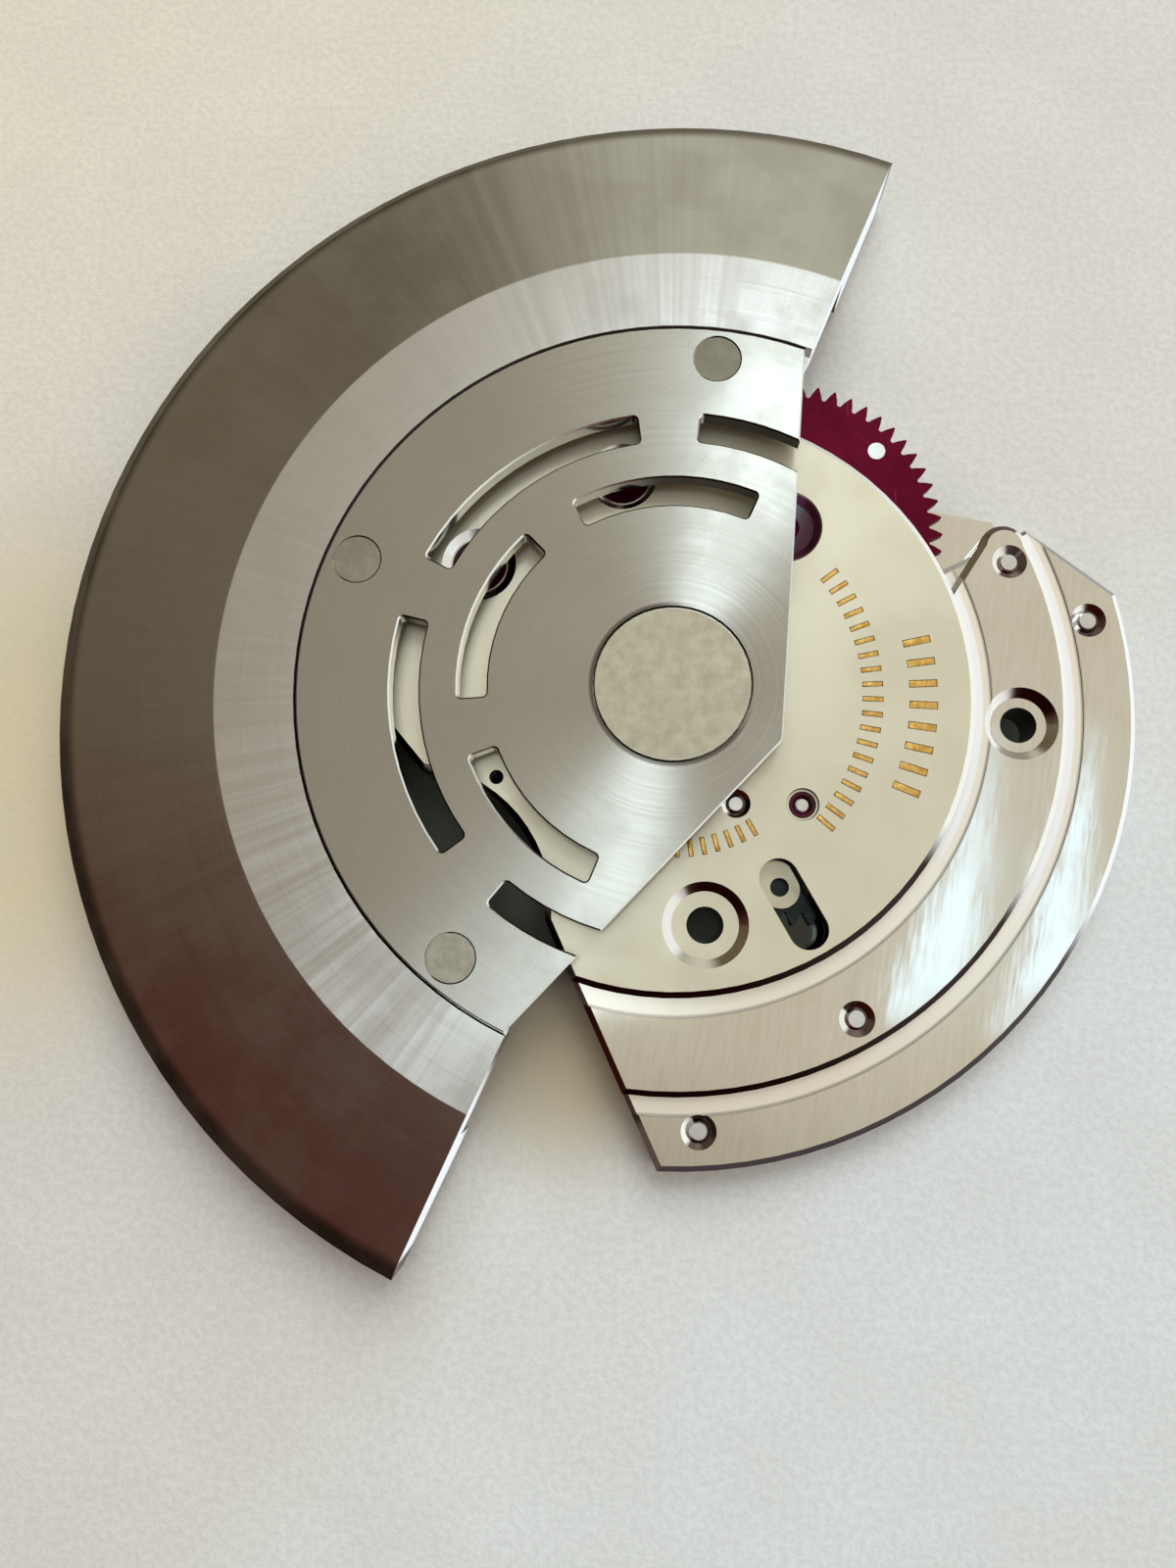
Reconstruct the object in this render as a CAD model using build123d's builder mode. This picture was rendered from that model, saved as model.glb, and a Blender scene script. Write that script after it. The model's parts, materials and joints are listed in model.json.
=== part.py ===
from build123d import *
from math import acos, atan2, cos, degrees, pi, radians, sin, sqrt, tan
import os

# Automatic winding module of a watch: an oscillating weight on its bridges, with two reversing wheels.
# Millimetres. The rotor's axis is Z, and z = 0 is the face that the module stands on.
os.makedirs("parts", exist_ok=True)

# General clearances and small details
running_gap = 0.02          # between a shaft and its bearing, on the radius
end_gap = 0.08              # above and below a wheel
pocket_gap = 0.10           # round the tips of a wheel
edge_bevel = 0.03           # broken edges of the small steel pieces
overrun = 1.0               # how far a cut passes the face that it opens
level_tolerance = 0.001

# Heights of the stack, from the standing face upwards
lower_bridge_thickness = 0.50
lower_wheel_thickness = 0.18
ratchet_height = 0.32
ratchet_to_disc = 0.08
disc_thickness = 0.20
plateau_1_thickness = 0.30
rotor_air = 0.45            # between the upper bridge and the rotor plate
rotor_plate_thickness = 0.40
plateau_1_step = 0.35       # down from plateau 1 to plateau 2
plateau_2_step = 0.30       # down from plateau 2 to plateau 3

lower_wheel_base = lower_bridge_thickness + end_gap
lower_wheel_top = lower_wheel_base + lower_wheel_thickness
ratchet_top = lower_wheel_top + ratchet_height
disc_base = ratchet_top + ratchet_to_disc
disc_top = disc_base + disc_thickness
ceiling = disc_top + end_gap
plateau_1_top = ceiling + plateau_1_thickness
plateau_2_top = plateau_1_top - plateau_1_step
plateau_3_top = plateau_2_top - plateau_2_step
rotor_plate_base = plateau_1_top + rotor_air
rotor_top = rotor_plate_base + rotor_plate_thickness

# Rotor
rotor_radius = 13.95
cone_start_radius = 10.04   # the flat ring ends and the conical face starts
cone_end_radius = 13.60
cone_drop = 0.65
rim_bevel_drop = 0.35
rim_foot = 0.30             # height of the heavy rim's lower face
rim_inner_radius = 10.65
rim_corner = 0.08
weight_body_thickness = 1.05
weight_flange_thickness = 0.35
weight_flange_radius = 6.95
plate_radius = 8.23
plate_joint = 0.05          # dark line between the plate and the weight
weight_start_angle = 67.8
weight_end_angle = 245.0
plate_corner_x = 2.35
plate_corner_y = -1.24
plate_corner_fillet = 0.30
plate_upper_edge_angle = 86.0
plate_lower_edge_angle = 226.6
plate_bevel = 0.035
rivet_circle_radius = 7.53
rivet_radius = 0.55
rivet_angles = (82.3, 158.0, 231.7)
rivet_dish = 0.02           # the riveted ends are slightly sunk
outer_slot_radius = 6.17
inner_slot_radius = 4.68
slot_width = 0.64
slot_corner = 0.10
outer_slot_angles = ((40.0, 84.1), (97.4, 152.2), (165.6, 217.0), (230.4, 268.0))
inner_slot_angles = ((66.0, 118.2), (133.6, 184.0), (200.1, 247.2))

# Rotor axle
axle_head_radius = 1.72
axle_head_joint = 0.02
axle_flange_radius = 2.10
axle_flange_thickness = 0.15
axle_journal_radius = 1.28
axle_core_radius = 0.62
axle_groove_radius = 0.45
axle_collar_radius = 0.80
axle_pivot_radius = 0.34
axle_pivot_end = 0.12       # height of the lower end of the axle
axle_collar_thickness = 0.08
axle_collar_gap = 0.06      # above the wheels that turn under it

# Toothed wheels
tooth_module = 0.125
pressure_angle = 27.0
backlash = 0.03
rotor_pinion_teeth = 18
disc_teeth = 56
reverser_wheel_teeth = 53
intermediate_teeth = 9
driving_teeth = 40
winding_teeth = 8
disc_addendum_share = 1.0   # of the module, like the two shares below
train_addendum_share = 0.85
flank_depth_share = 0.85
root_depth_share = 1.35
reverser_1_angle = 56.3     # bearing of the first reversing wheel from the rotor's axis
reverser_2_angle = 187.1    # bearing of the second reversing wheel from the first
driving_angle = 318.8
disc_phase = 5.2            # bearing of one tooth of the first disc
idler_teeth = rotor_pinion_teeth + disc_teeth - reverser_wheel_teeth

# Reversing wheels
arbor_radius = 0.30
arbor_pivot_radius = 0.12
arbor_shoulder_radius = 0.42
arbor_shoulder_height = 0.06
arbor_end_shake = 0.05
pivot_reach_in = 0.03       # a pivot ends this far inside its jewel
disc_bore_radius = arbor_radius + running_gap
pawl_pin_radius = 0.20
pawl_pin_circle = 2.93
pawl_pin_angle = 41.7
pawl_pin_head_radius = 0.28
pawl_pin_head_gap = 0.04    # above the lower wheel
pawl_pin_head_thickness = 0.06
pawl_thickness = 0.16
pawl_eye_radius = 0.36
pawl_tip_width = 0.20
pawl_tip_gap = 0.02
pawl_length_angle = 38.0    # round the arbor, from the pawl's pin to its tip
pawl_lift = 10.0            # turn of a pawl that clears the ratchet
ratchet_teeth = 16
ratchet_radius = 1.80
ratchet_root_radius = 1.55
wheel_window_radius = 0.36
wheel_window_circle = 2.45
wheel_windows = 6

# Intermediate pinion, centre idler and driving wheel
intermediate_arbor_radius = 0.28
post_radius = 0.72
post_flange_radius = 0.95
post_base_thickness = 0.08
post_cavity_radius = 0.46
post_jewel_radius = 0.56
post_jewel_base = 0.16
post_jewel_thickness = 0.24
driving_arbor_radius = 0.24
driving_shoulder_radius = 0.42
driving_pivot_radius = 0.13
driving_journal_radius = 0.30
winding_stub_radius = 0.20
winding_stub_end = 0.04     # height of the lower end of the driving arbor
winding_end_gap = 0.01
winding_recess_depth = 0.30
winding_recess_radius = 0.85
ratchet_recess_radius = 1.60    # opening for the rim of the ratchet wheel under the module
ratchet_recess_reach = 1.90
ratchet_recess_angle = 0.0

# Jewels
jewel_radius = 0.62
jewel_thickness = 0.18
jewel_set_back = 0.03       # from the bridge's inner face
jewel_hole_radius = 0.14
jewel_cup_radius = 0.34     # oil cup round the pivot
jewel_cup_depth = 0.08
jewel_seat_slope = 0.04     # a sink's floor is this much wider than its jewel
reverser_sink_radius = 0.85
intermediate_sink_radius = 0.79
driving_jewel_radius = 0.30
driving_jewel_hole_radius = 0.15
driving_jewel_cup_radius = 0.22
driving_sink_radius = 0.36
lower_driving_jewel_thickness = 0.16
rotor_jewel_radius = 1.85
rotor_jewel_thickness = 0.34

# Upper bridge
plateau_1_radius = 6.73
plateau_2_radius = 8.85
plateau_3_radius = 10.45
step_bevel = 0.14
turned_band_width = 0.42
turned_band_depth = 0.03
skirt_gap = 0.05            # between the lower bridge and the skirt round it
balance_cut_x = -5.85
balance_cut_y = -4.85
balance_cut_radius = 3.10
west_edge_shares = ((-0.526, -0.177), (-0.689, 0.017))    # of plateau 3's radius, like the next four
south_edge_shares = ((-0.273, -0.466), (0.005, -1.074))
north_east_shares = ((1.034, 0.187), (0.785, 0.383))
tongue_shares = ((0.574, 0.183), (0.676, 0.343), (0.7254, 0.3311))
tongue_end_radius = 0.54
tongue_angle = 24.5
west_side_angle = 187.6

# Holes and pins of the upper bridge
screw_hole_radius = 0.405
east_screw_shares = ((0.8780, -0.0712),)    # of plateau 2's radius
south_screw_x, south_screw_y = 0.73, -5.15
east_seat_radius = 0.82
south_seat_radius = 0.94
seat_wall_slope = 0.20      # how much narrower a screw seat is at its floor
seat_depth = 0.22
lock_angle = 299.4          # bearing along which the axle lock slides
window_inner_reach = 4.74
window_outer_reach = 6.01
window_radius = 0.435
pin_radius = 0.21
pin_sink_radius = 0.39
pin_sink_depth = 0.14
pin_recess = 0.05
bridge_pin_shares = ((0.8667, 0.3514), (0.4520, -0.8057))  # of plateau 2's radius
bush_shares = ((0.9072, 0.1742), (0.0574, -0.9167))        # of plateau 3's radius
bush_radius = 0.55
bush_bore_radius = 0.37
bush_bore_depth = 0.60
bush_cap = 0.15
bridge_screw_shares = ((0.6699, 0.1483), (-0.5359, -0.0842), (0.5694, -0.5024))  # of plateau 3's radius
bridge_screw_radius = 0.22
bridge_screw_head_radius = 0.40
bridge_screw_head = 0.24
bridge_screw_recess = 0.02
bridge_screw_length = 0.80
driver_slot_width = 0.14
driver_slot_depth = 0.10
sight_hole_x, sight_hole_y = -3.88, -1.93
sight_hole_radius = 0.16
centre_pocket_radius = 1.65
arbor_pocket_gap = 0.12
mark_depth = 0.04
mark_rings = (              # inner radius, length, width, first bearing, last bearing, number of marks
    (5.25, 0.62, 0.17, -23.0, 12.0, 8),
    (4.22, 0.46, 0.12, -41.0, 37.0, 19),
    (3.30, 0.40, 0.11, 272.0, 300.0, 7),
)

# Lower bridge
lower_bridge_radius = 8.75
lower_bridge_north_radius = 6.60
lower_bridge_north_east_shares = ((0.830, 0.396), (0.478, 0.469))  # of plateau 3's radius
jewel_sight_radius = 0.35

# Axle lock
lock_thickness = 0.14
lock_half_width = 0.42
lock_fork_radius = 0.98
lock_tine_reach = 0.20
lock_end_reach = 5.40
lock_hole_reach = 4.92
lock_hole_radius = 0.21
lock_travel = 1.05
lock_side_gap = 0.06
guide_pin_reach = 2.87
guide_pin_radius = 0.18
guide_pin_sink_radius = 0.32
guide_pin_head_radius = 0.34
guide_pin_head_thickness = 0.08

collar_base = lower_wheel_top + axle_collar_gap
collar_top = collar_base + axle_collar_thickness
lock_base = collar_top + running_gap
lock_top = lock_base + lock_thickness
groove_top = lock_top + running_gap
pinion_base = disc_base - ratchet_to_disc / 2
pinion_top = disc_top + end_gap
post_top = collar_base - running_gap
bush_top = bush_bore_depth + bush_cap
cut_reach = rotor_radius + overrun    # outline cuts reach past the pieces to here
bridge_screw_seat = bridge_screw_recess + bridge_screw_head
bridge_screw_top = bridge_screw_seat + bridge_screw_length


def polar(radius, bearing):
    return (radius * cos(radians(bearing)), radius * sin(radians(bearing)))


def beyond(place, radius, bearing):
    step = polar(radius, bearing)
    return (place[0] + step[0], place[1] + step[1])


def shared(shares, size):
    return [(x_share * size, y_share * size) for x_share, y_share in shares]


def centre_distance(teeth, mate_teeth):
    return tooth_module * (teeth + mate_teeth) / 2


def tip_radius(teeth, addendum_share):
    return tooth_module * (teeth / 2 + addendum_share)


def meshed_phase(teeth, mate_teeth, mate_phase, bearing):
    # bearing runs from the mate's centre to this wheel's centre
    return bearing + 180 + (180 - mate_teeth * (mate_phase - bearing)) / teeth


def involute(angle):
    return tan(angle) - angle


def gear_face(teeth, phase, addendum_share):
    # involute flanks and round gullets, with one tooth at the bearing phase
    pitch_radius = teeth * tooth_module / 2
    base_radius = pitch_radius * cos(radians(pressure_angle))
    top_radius = tip_radius(teeth, addendum_share)
    flank_radius = max(pitch_radius - flank_depth_share * tooth_module, base_radius)
    middle_radius = (flank_radius + top_radius) / 2
    root_radius = pitch_radius - root_depth_share * tooth_module
    pitch_half = (pi * tooth_module / 2 - backlash) / (2 * pitch_radius)

    def half_angle(radius):
        opening = involute(acos(min(1, base_radius / radius)))
        return degrees(pitch_half + involute(radians(pressure_angle)) - opening)

    rising = [(radius, -half_angle(radius)) for radius in (flank_radius, middle_radius, top_radius)]
    falling = [(radius, -turn) for radius, turn in reversed(rising)]
    gullet = [falling[-1], (root_radius, 180 / teeth), (flank_radius, 360 / teeth + rising[0][1])]
    with BuildSketch(mode=Mode.PRIVATE) as face:
        with BuildLine():
            for tooth in range(teeth):
                bearing = phase + 360 * tooth / teeth
                up, down, valley = (
                    [polar(radius, bearing + turn) for radius, turn in curve] for curve in (rising, falling, gullet)
                )
                ThreePointArc(*up)
                Line(up[-1], down[0])
                ThreePointArc(*down)
                ThreePointArc(*valley)
        make_face()
    return face.sketch


def ring_piece(inner_radius, outer_radius, first_angle, last_angle, corner):
    # stretch of a ring, with its four corners rounded
    middle_angle = (first_angle + last_angle) / 2
    with BuildSketch(mode=Mode.PRIVATE) as face:
        with BuildLine():
            outer = [polar(outer_radius, bearing) for bearing in (first_angle, middle_angle, last_angle)]
            inner = [polar(inner_radius, bearing) for bearing in (last_angle, middle_angle, first_angle)]
            ThreePointArc(*outer)
            Line(outer[-1], inner[0])
            ThreePointArc(*inner)
            Line(inner[-1], outer[0])
        make_face()
        if corner:
            fillet(face.vertices(), corner)
    return face.sketch


def level_edges(builder, height):
    # edges that lie flat at this height
    return [
        edge
        for edge in builder.edges()
        if max(abs(edge.bounding_box().min.Z - height), abs(edge.bounding_box().max.Z - height)) < level_tolerance
    ]


on_base = (Align.CENTER, Align.CENTER, Align.MIN)
hanging = (Align.CENTER, Align.CENTER, Align.MAX)

# Places of the arbors, and the bearing of one tooth of each wheel
reverser_1 = polar(centre_distance(rotor_pinion_teeth, disc_teeth), reverser_1_angle)
disc_distance = centre_distance(disc_teeth, disc_teeth)
reverser_2 = beyond(reverser_1, disc_distance, reverser_2_angle)
reversers = (reverser_1, reverser_2)
midway = beyond(reverser_1, disc_distance / 2, reverser_2_angle)
intermediate_distance = centre_distance(reverser_wheel_teeth, intermediate_teeth)
intermediate_rise = sqrt(intermediate_distance**2 - (disc_distance / 2) ** 2)
intermediate = beyond(midway, intermediate_rise, reverser_2_angle - 90)
intermediate_lean = degrees(acos(disc_distance / 2 / intermediate_distance))
driving = polar(centre_distance(idler_teeth, driving_teeth), driving_angle)

# Where the bridges are screwed and pinned
east_screw, = shared(east_screw_shares, plateau_2_radius)
bridge_pin_places = shared(bridge_pin_shares, plateau_2_radius)
bush_places = shared(bush_shares, plateau_3_radius)
bridge_screw_places = shared(bridge_screw_shares, plateau_3_radius)

disc_phases = (disc_phase, meshed_phase(disc_teeth, disc_teeth, disc_phase, reverser_2_angle))
rotor_pinion_phase = meshed_phase(rotor_pinion_teeth, disc_teeth, disc_phase, reverser_1_angle + 180)
intermediate_phase = meshed_phase(
    intermediate_teeth, reverser_wheel_teeth, disc_phase, reverser_2_angle - intermediate_lean
)
wheel_phases = (
    disc_phase,
    meshed_phase(
        reverser_wheel_teeth, intermediate_teeth, intermediate_phase, reverser_2_angle + intermediate_lean
    ),
)
idler_phase = meshed_phase(idler_teeth, reverser_wheel_teeth, disc_phase, reverser_1_angle + 180)
driving_phase = meshed_phase(driving_teeth, idler_teeth, idler_phase, driving_angle)

disc_pocket_radius = tip_radius(disc_teeth, disc_addendum_share) + pocket_gap
intermediate_pocket_radius = tip_radius(intermediate_teeth, train_addendum_share) + pocket_gap
driving_pocket_radius = tip_radius(driving_teeth, train_addendum_share) + pocket_gap
lower_jewel_top = lower_bridge_thickness - jewel_set_back
lower_jewel_base = lower_jewel_top - jewel_thickness
upper_jewel_base = ceiling + jewel_set_back
upper_jewel_top = upper_jewel_base + jewel_thickness
arbor_base = lower_jewel_top + arbor_end_shake
arbor_top = upper_jewel_base - arbor_end_shake
lower_pivot_end = lower_jewel_base + pivot_reach_in
upper_pivot_end = upper_jewel_top - pivot_reach_in
pawl_pin_foot = lower_wheel_top + pawl_pin_head_gap
pawl_base = pawl_pin_foot + pawl_pin_head_thickness + running_gap
pawl_top = pawl_base + pawl_thickness


# Oscillating weight: one turned sector of dense metal with a flange under the plate
weight_sweep = weight_end_angle - weight_start_angle
weight_inner_radius = plate_radius + plate_joint
with BuildPart() as rotor_weight:
    start_direction = (*polar(1, weight_start_angle), 0)
    with BuildSketch(Plane(origin=(0, 0, 0), x_dir=start_direction, z_dir=(*polar(1, weight_start_angle - 90), 0))):
        Polygon(
            (weight_flange_radius, rotor_plate_base),
            (weight_inner_radius, rotor_plate_base),
            (weight_inner_radius, rotor_top),
            (cone_start_radius, rotor_top),
            (cone_end_radius, rotor_top - cone_drop),
            (rotor_radius, rotor_top - cone_drop - rim_bevel_drop),
            (rotor_radius, rim_foot + rim_corner),
            (rotor_radius - rim_corner, rim_foot),
            (rim_inner_radius, rim_foot),
            (rim_inner_radius, rotor_top - weight_body_thickness),
            (weight_inner_radius, rotor_top - weight_body_thickness),
            (weight_inner_radius, rotor_plate_base - weight_flange_thickness),
            (weight_flange_radius, rotor_plate_base - weight_flange_thickness),
        )
    revolve(axis=Axis.Z, revolution_arc=weight_sweep)
    with Locations(*[(*polar(rivet_circle_radius, bearing), rotor_plate_base) for bearing in rivet_angles]):
        Cylinder(rivet_radius, weight_flange_thickness + overrun, align=hanging, mode=Mode.SUBTRACT)
rotor_weight.part.label = "rotor_weight"
export_step(rotor_weight.part, "parts/rotor_weight.step")

# Rotor plate: thin steel plate with two rings of slots, cut to two straight edges that meet east of the axle
plate_corner = (plate_corner_x, plate_corner_y)
with BuildPart() as rotor_plate:
    with BuildSketch(Plane.XY.offset(rotor_plate_base)):
        Circle(plate_radius)
        with BuildSketch(mode=Mode.INTERSECT) as plate_side:
            Polygon(
                plate_corner,
                beyond(plate_corner, cut_reach, plate_upper_edge_angle),
                (-cut_reach, cut_reach),
                (-cut_reach, -cut_reach),
                beyond(plate_corner, cut_reach, plate_lower_edge_angle),
            )
            fillet(plate_side.vertices().sort_by_distance(plate_corner)[0], plate_corner_fillet)
        for slot_radius, slots in ((outer_slot_radius, outer_slot_angles), (inner_slot_radius, inner_slot_angles)):
            for first_angle, last_angle in slots:
                add(
                    ring_piece(slot_radius - slot_width, slot_radius, first_angle, last_angle, slot_corner),
                    mode=Mode.SUBTRACT,
                )
    extrude(amount=rotor_plate_thickness)
    chamfer(level_edges(rotor_plate, rotor_top), plate_bevel)
    with Locations((0, 0, rotor_plate_base)):
        Hole(axle_head_radius + axle_head_joint)
    with Locations(*[(*polar(rivet_circle_radius, bearing), rotor_plate_base) for bearing in rivet_angles]):
        Hole(rivet_radius)
rotor_plate.part.label = "rotor_plate"
export_step(rotor_plate.part, "parts/rotor_plate.step")

# Three rivets that hold the plate on the weight's flange
with BuildPart() as weight_rivets:
    rivet_foot = rotor_plate_base - weight_flange_thickness
    with Locations(*[(*polar(rivet_circle_radius, bearing), rivet_foot) for bearing in rivet_angles]):
        Cylinder(rivet_radius, rotor_top - rivet_dish - rivet_foot, align=on_base)
    chamfer(level_edges(weight_rivets, rotor_top - rivet_dish), edge_bevel)
weight_rivets.part.label = "weight_rivets"
export_step(weight_rivets.part, "parts/weight_rivets.step")

# Rotor axle: head set in the plate, journal, groove for the lock and lower pivot
axle_steps = (
    (axle_head_radius, rotor_plate_base, rotor_top),
    (axle_flange_radius, rotor_plate_base - axle_flange_thickness, rotor_plate_base),
    (axle_journal_radius, pinion_top, rotor_plate_base - axle_flange_thickness),
    (axle_core_radius, groove_top, pinion_top),
    (axle_groove_radius, collar_top, groove_top),
    (axle_collar_radius, collar_base, collar_top),
    (axle_pivot_radius, axle_pivot_end, collar_base),
)
with BuildPart() as rotor_axle:
    for radius, low, high in axle_steps:
        with Locations((0, 0, low)):
            Cylinder(radius, high - low, align=on_base)
    chamfer(level_edges(rotor_axle, rotor_top) + level_edges(rotor_axle, axle_pivot_end), edge_bevel)
rotor_axle.part.label = "rotor_axle"
export_step(rotor_axle.part, "parts/rotor_axle.step")

# Pinion pressed on the axle under its journal
rotor_pinion_face = gear_face(rotor_pinion_teeth, rotor_pinion_phase, disc_addendum_share)
with BuildPart() as rotor_pinion:
    with BuildSketch(Plane.XY.offset(pinion_base)):
        add(rotor_pinion_face)
        Circle(axle_core_radius, mode=Mode.SUBTRACT)
    extrude(amount=pinion_top - pinion_base)
rotor_pinion.part.label = "rotor_pinion"
export_step(rotor_pinion.part, "parts/rotor_pinion.step")


def cylinders(places, radius, low, high, mode=Mode.ADD):
    # round pieces or holes between two heights
    with Locations(*[(x, y, low) for x, y in places]):
        Cylinder(radius, high - low, align=on_base, mode=mode)


def cone_sinks(places, face, floor, face_radius, floor_radius):
    with Locations(*[(x, y, floor) for x, y in places]):
        Cone(floor_radius, face_radius, face - floor, align=on_base, mode=Mode.SUBTRACT)


def turned(place, steps):
    # turned piece from its radii and heights
    for radius, low, high in steps:
        cylinders([place], radius, low, high)


def stretched_hole(first_reach, last_reach, half_width):
    # round-ended slot along the lock's bearing
    with Locations(polar((first_reach + last_reach) / 2, lock_angle)):
        SlotCenterToCenter(last_reach - first_reach, half_width + half_width, rotation=lock_angle)


# The two reversing wheels are alike: a disc with two pawls, a ratchet wheel under it and their arbor
for number, (place, top_phase, wheel_phase, lift) in enumerate(
    zip(reversers, disc_phases, wheel_phases, (0, pawl_lift)), start=1
):
    pin_bearings = [pawl_pin_angle + top_phase - disc_phase + turn for turn in (0, 180)]
    pin_places = [beyond(place, pawl_pin_circle, bearing) for bearing in pin_bearings]
    with BuildPart() as reverser_disc:
        with BuildSketch(Plane.XY.offset(disc_base)):
            with Locations(place):
                add(gear_face(disc_teeth, top_phase, disc_addendum_share))
                Circle(disc_bore_radius, mode=Mode.SUBTRACT)
        extrude(amount=disc_thickness)
        cylinders(pin_places, pawl_pin_radius, disc_base, disc_top, Mode.SUBTRACT)
    reverser_disc.part.label = f"reverser_{number}_disc"
    export_step(reverser_disc.part, f"parts/reverser_{number}_disc.step")

    with BuildPart() as pawl_pins:
        cylinders(pin_places, pawl_pin_radius, pawl_pin_foot, disc_top)
        cylinders(pin_places, pawl_pin_head_radius, pawl_pin_foot, pawl_base - running_gap)
        cylinders(pin_places, pawl_pin_head_radius, pawl_top + running_gap, disc_base)
    pawl_pins.part.label = f"reverser_{number}_pawl_pins"
    export_step(pawl_pins.part, f"parts/reverser_{number}_pawl_pins.step")

    for letter, pin_place, bearing in zip("ab", pin_places, pin_bearings):
        tip_bearing = bearing - pawl_length_angle
        nose_radius = ratchet_root_radius + pawl_tip_gap
        nose = beyond(place, nose_radius, tip_bearing)
        back = beyond(place, nose_radius + pawl_tip_width, tip_bearing)
        back_bearing = degrees(atan2(pin_place[1] - back[1], pin_place[0] - back[0]))
        with BuildPart() as pawl:
            with BuildSketch(Plane.XY.offset(pawl_base)):
                with Locations(pin_place):
                    Circle(pawl_eye_radius)
                Polygon(nose, back, beyond(pin_place, pawl_eye_radius, back_bearing - 90), pin_place)
                with Locations(pin_place):
                    Circle(pawl_pin_radius + running_gap, mode=Mode.SUBTRACT)
            extrude(amount=pawl_thickness)
        turned_pawl = pawl.part.rotate(Axis((*pin_place, 0), (0, 0, 1)), lift)
        turned_pawl.label = f"reverser_{number}_pawl_{letter}"
        export_step(turned_pawl, f"parts/reverser_{number}_pawl_{letter}.step")

    catch_bearing = pin_bearings[0] - pawl_length_angle - degrees(pawl_tip_gap / ratchet_radius)
    with BuildPart() as reverser_wheel:
        with BuildSketch(Plane.XY.offset(lower_wheel_base)):
            with Locations(place):
                add(gear_face(reverser_wheel_teeth, wheel_phase, train_addendum_share))
                with PolarLocations(wheel_window_circle, wheel_windows, start_angle=catch_bearing):
                    Circle(wheel_window_radius, mode=Mode.SUBTRACT)
        extrude(amount=lower_wheel_thickness)
        with BuildSketch(Plane.XY.offset(lower_wheel_top)):
            with Locations(place):
                Polygon(
                    *[
                        polar(radius, catch_bearing + 360 * tooth / ratchet_teeth)
                        for tooth in range(ratchet_teeth)
                        for radius in (ratchet_radius, ratchet_root_radius)
                    ]
                )
        extrude(amount=ratchet_height)
        cylinders([place], arbor_radius, lower_wheel_base, ratchet_top, Mode.SUBTRACT)
    reverser_wheel.part.label = f"reverser_{number}_wheel"
    export_step(reverser_wheel.part, f"parts/reverser_{number}_wheel.step")

    shoulder_top = ratchet_top + arbor_shoulder_height
    with BuildPart() as reverser_arbor:
        turned(
            place,
            (
                (arbor_pivot_radius, lower_pivot_end, arbor_base),
                (arbor_radius, arbor_base, ratchet_top),
                (arbor_shoulder_radius, ratchet_top, shoulder_top),
                (arbor_radius, shoulder_top, arbor_top),
                (arbor_pivot_radius, arbor_top, upper_pivot_end),
            ),
        )
    reverser_arbor.part.label = f"reverser_{number}_arbor"
    export_step(reverser_arbor.part, f"parts/reverser_{number}_arbor.step")

# Intermediate pinion: leaves cut on its own arbor, between the two ratchet wheels
with BuildPart() as intermediate_pinion:
    with BuildSketch(Plane.XY.offset(lower_wheel_base)):
        with Locations(intermediate):
            add(gear_face(intermediate_teeth, intermediate_phase, train_addendum_share))
    extrude(amount=lower_wheel_thickness)
    turned(
        intermediate,
        (
            (arbor_pivot_radius, lower_pivot_end, arbor_base),
            (intermediate_arbor_radius, arbor_base, arbor_top),
            (arbor_pivot_radius, arbor_top, upper_pivot_end),
        ),
    )
intermediate_pinion.part.label = "intermediate_pinion"
export_step(intermediate_pinion.part, "parts/intermediate_pinion.step")

# Centre idler, which turns on the hollow centre post
with BuildPart() as centre_idler:
    with BuildSketch(Plane.XY.offset(lower_wheel_base)):
        add(gear_face(idler_teeth, idler_phase, train_addendum_share))
        Circle(post_radius + running_gap, mode=Mode.SUBTRACT)
    extrude(amount=lower_wheel_thickness)
centre_idler.part.label = "centre_idler"
export_step(centre_idler.part, "parts/centre_idler.step")

centre = (0, 0)
post_jewel_top = post_jewel_base + post_jewel_thickness
with BuildPart() as centre_post:
    turned(centre, ((post_flange_radius, 0, lower_bridge_thickness), (post_radius, lower_bridge_thickness, post_top)))
    cylinders([centre], post_cavity_radius, post_base_thickness, post_jewel_base, Mode.SUBTRACT)
    cylinders([centre], post_jewel_radius, post_jewel_base, post_top, Mode.SUBTRACT)
centre_post.part.label = "centre_post"
export_step(centre_post.part, "parts/centre_post.step")

# Driving wheel and winding pinion, pressed on the two ends of the driving arbor
with BuildPart() as driving_wheel:
    with BuildSketch(Plane.XY.offset(lower_wheel_base)):
        with Locations(driving):
            add(gear_face(driving_teeth, driving_phase, train_addendum_share))
            Circle(driving_arbor_radius, mode=Mode.SUBTRACT)
    extrude(amount=lower_wheel_thickness)
driving_wheel.part.label = "driving_wheel"
export_step(driving_wheel.part, "parts/driving_wheel.step")

winding_pinion_base = winding_stub_end + winding_end_gap
winding_pinion_top = winding_recess_depth - winding_end_gap
with BuildPart() as driving_arbor:
    turned(
        driving,
        (
            (winding_stub_radius, winding_stub_end, winding_recess_depth),
            (driving_journal_radius, winding_recess_depth, arbor_base),
            (driving_shoulder_radius, arbor_base, lower_wheel_base),
            (driving_arbor_radius, lower_wheel_base, arbor_top),
            (driving_pivot_radius, arbor_top, upper_pivot_end),
        ),
    )
driving_arbor.part.label = "driving_arbor"
export_step(driving_arbor.part, "parts/driving_arbor.step")

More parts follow.
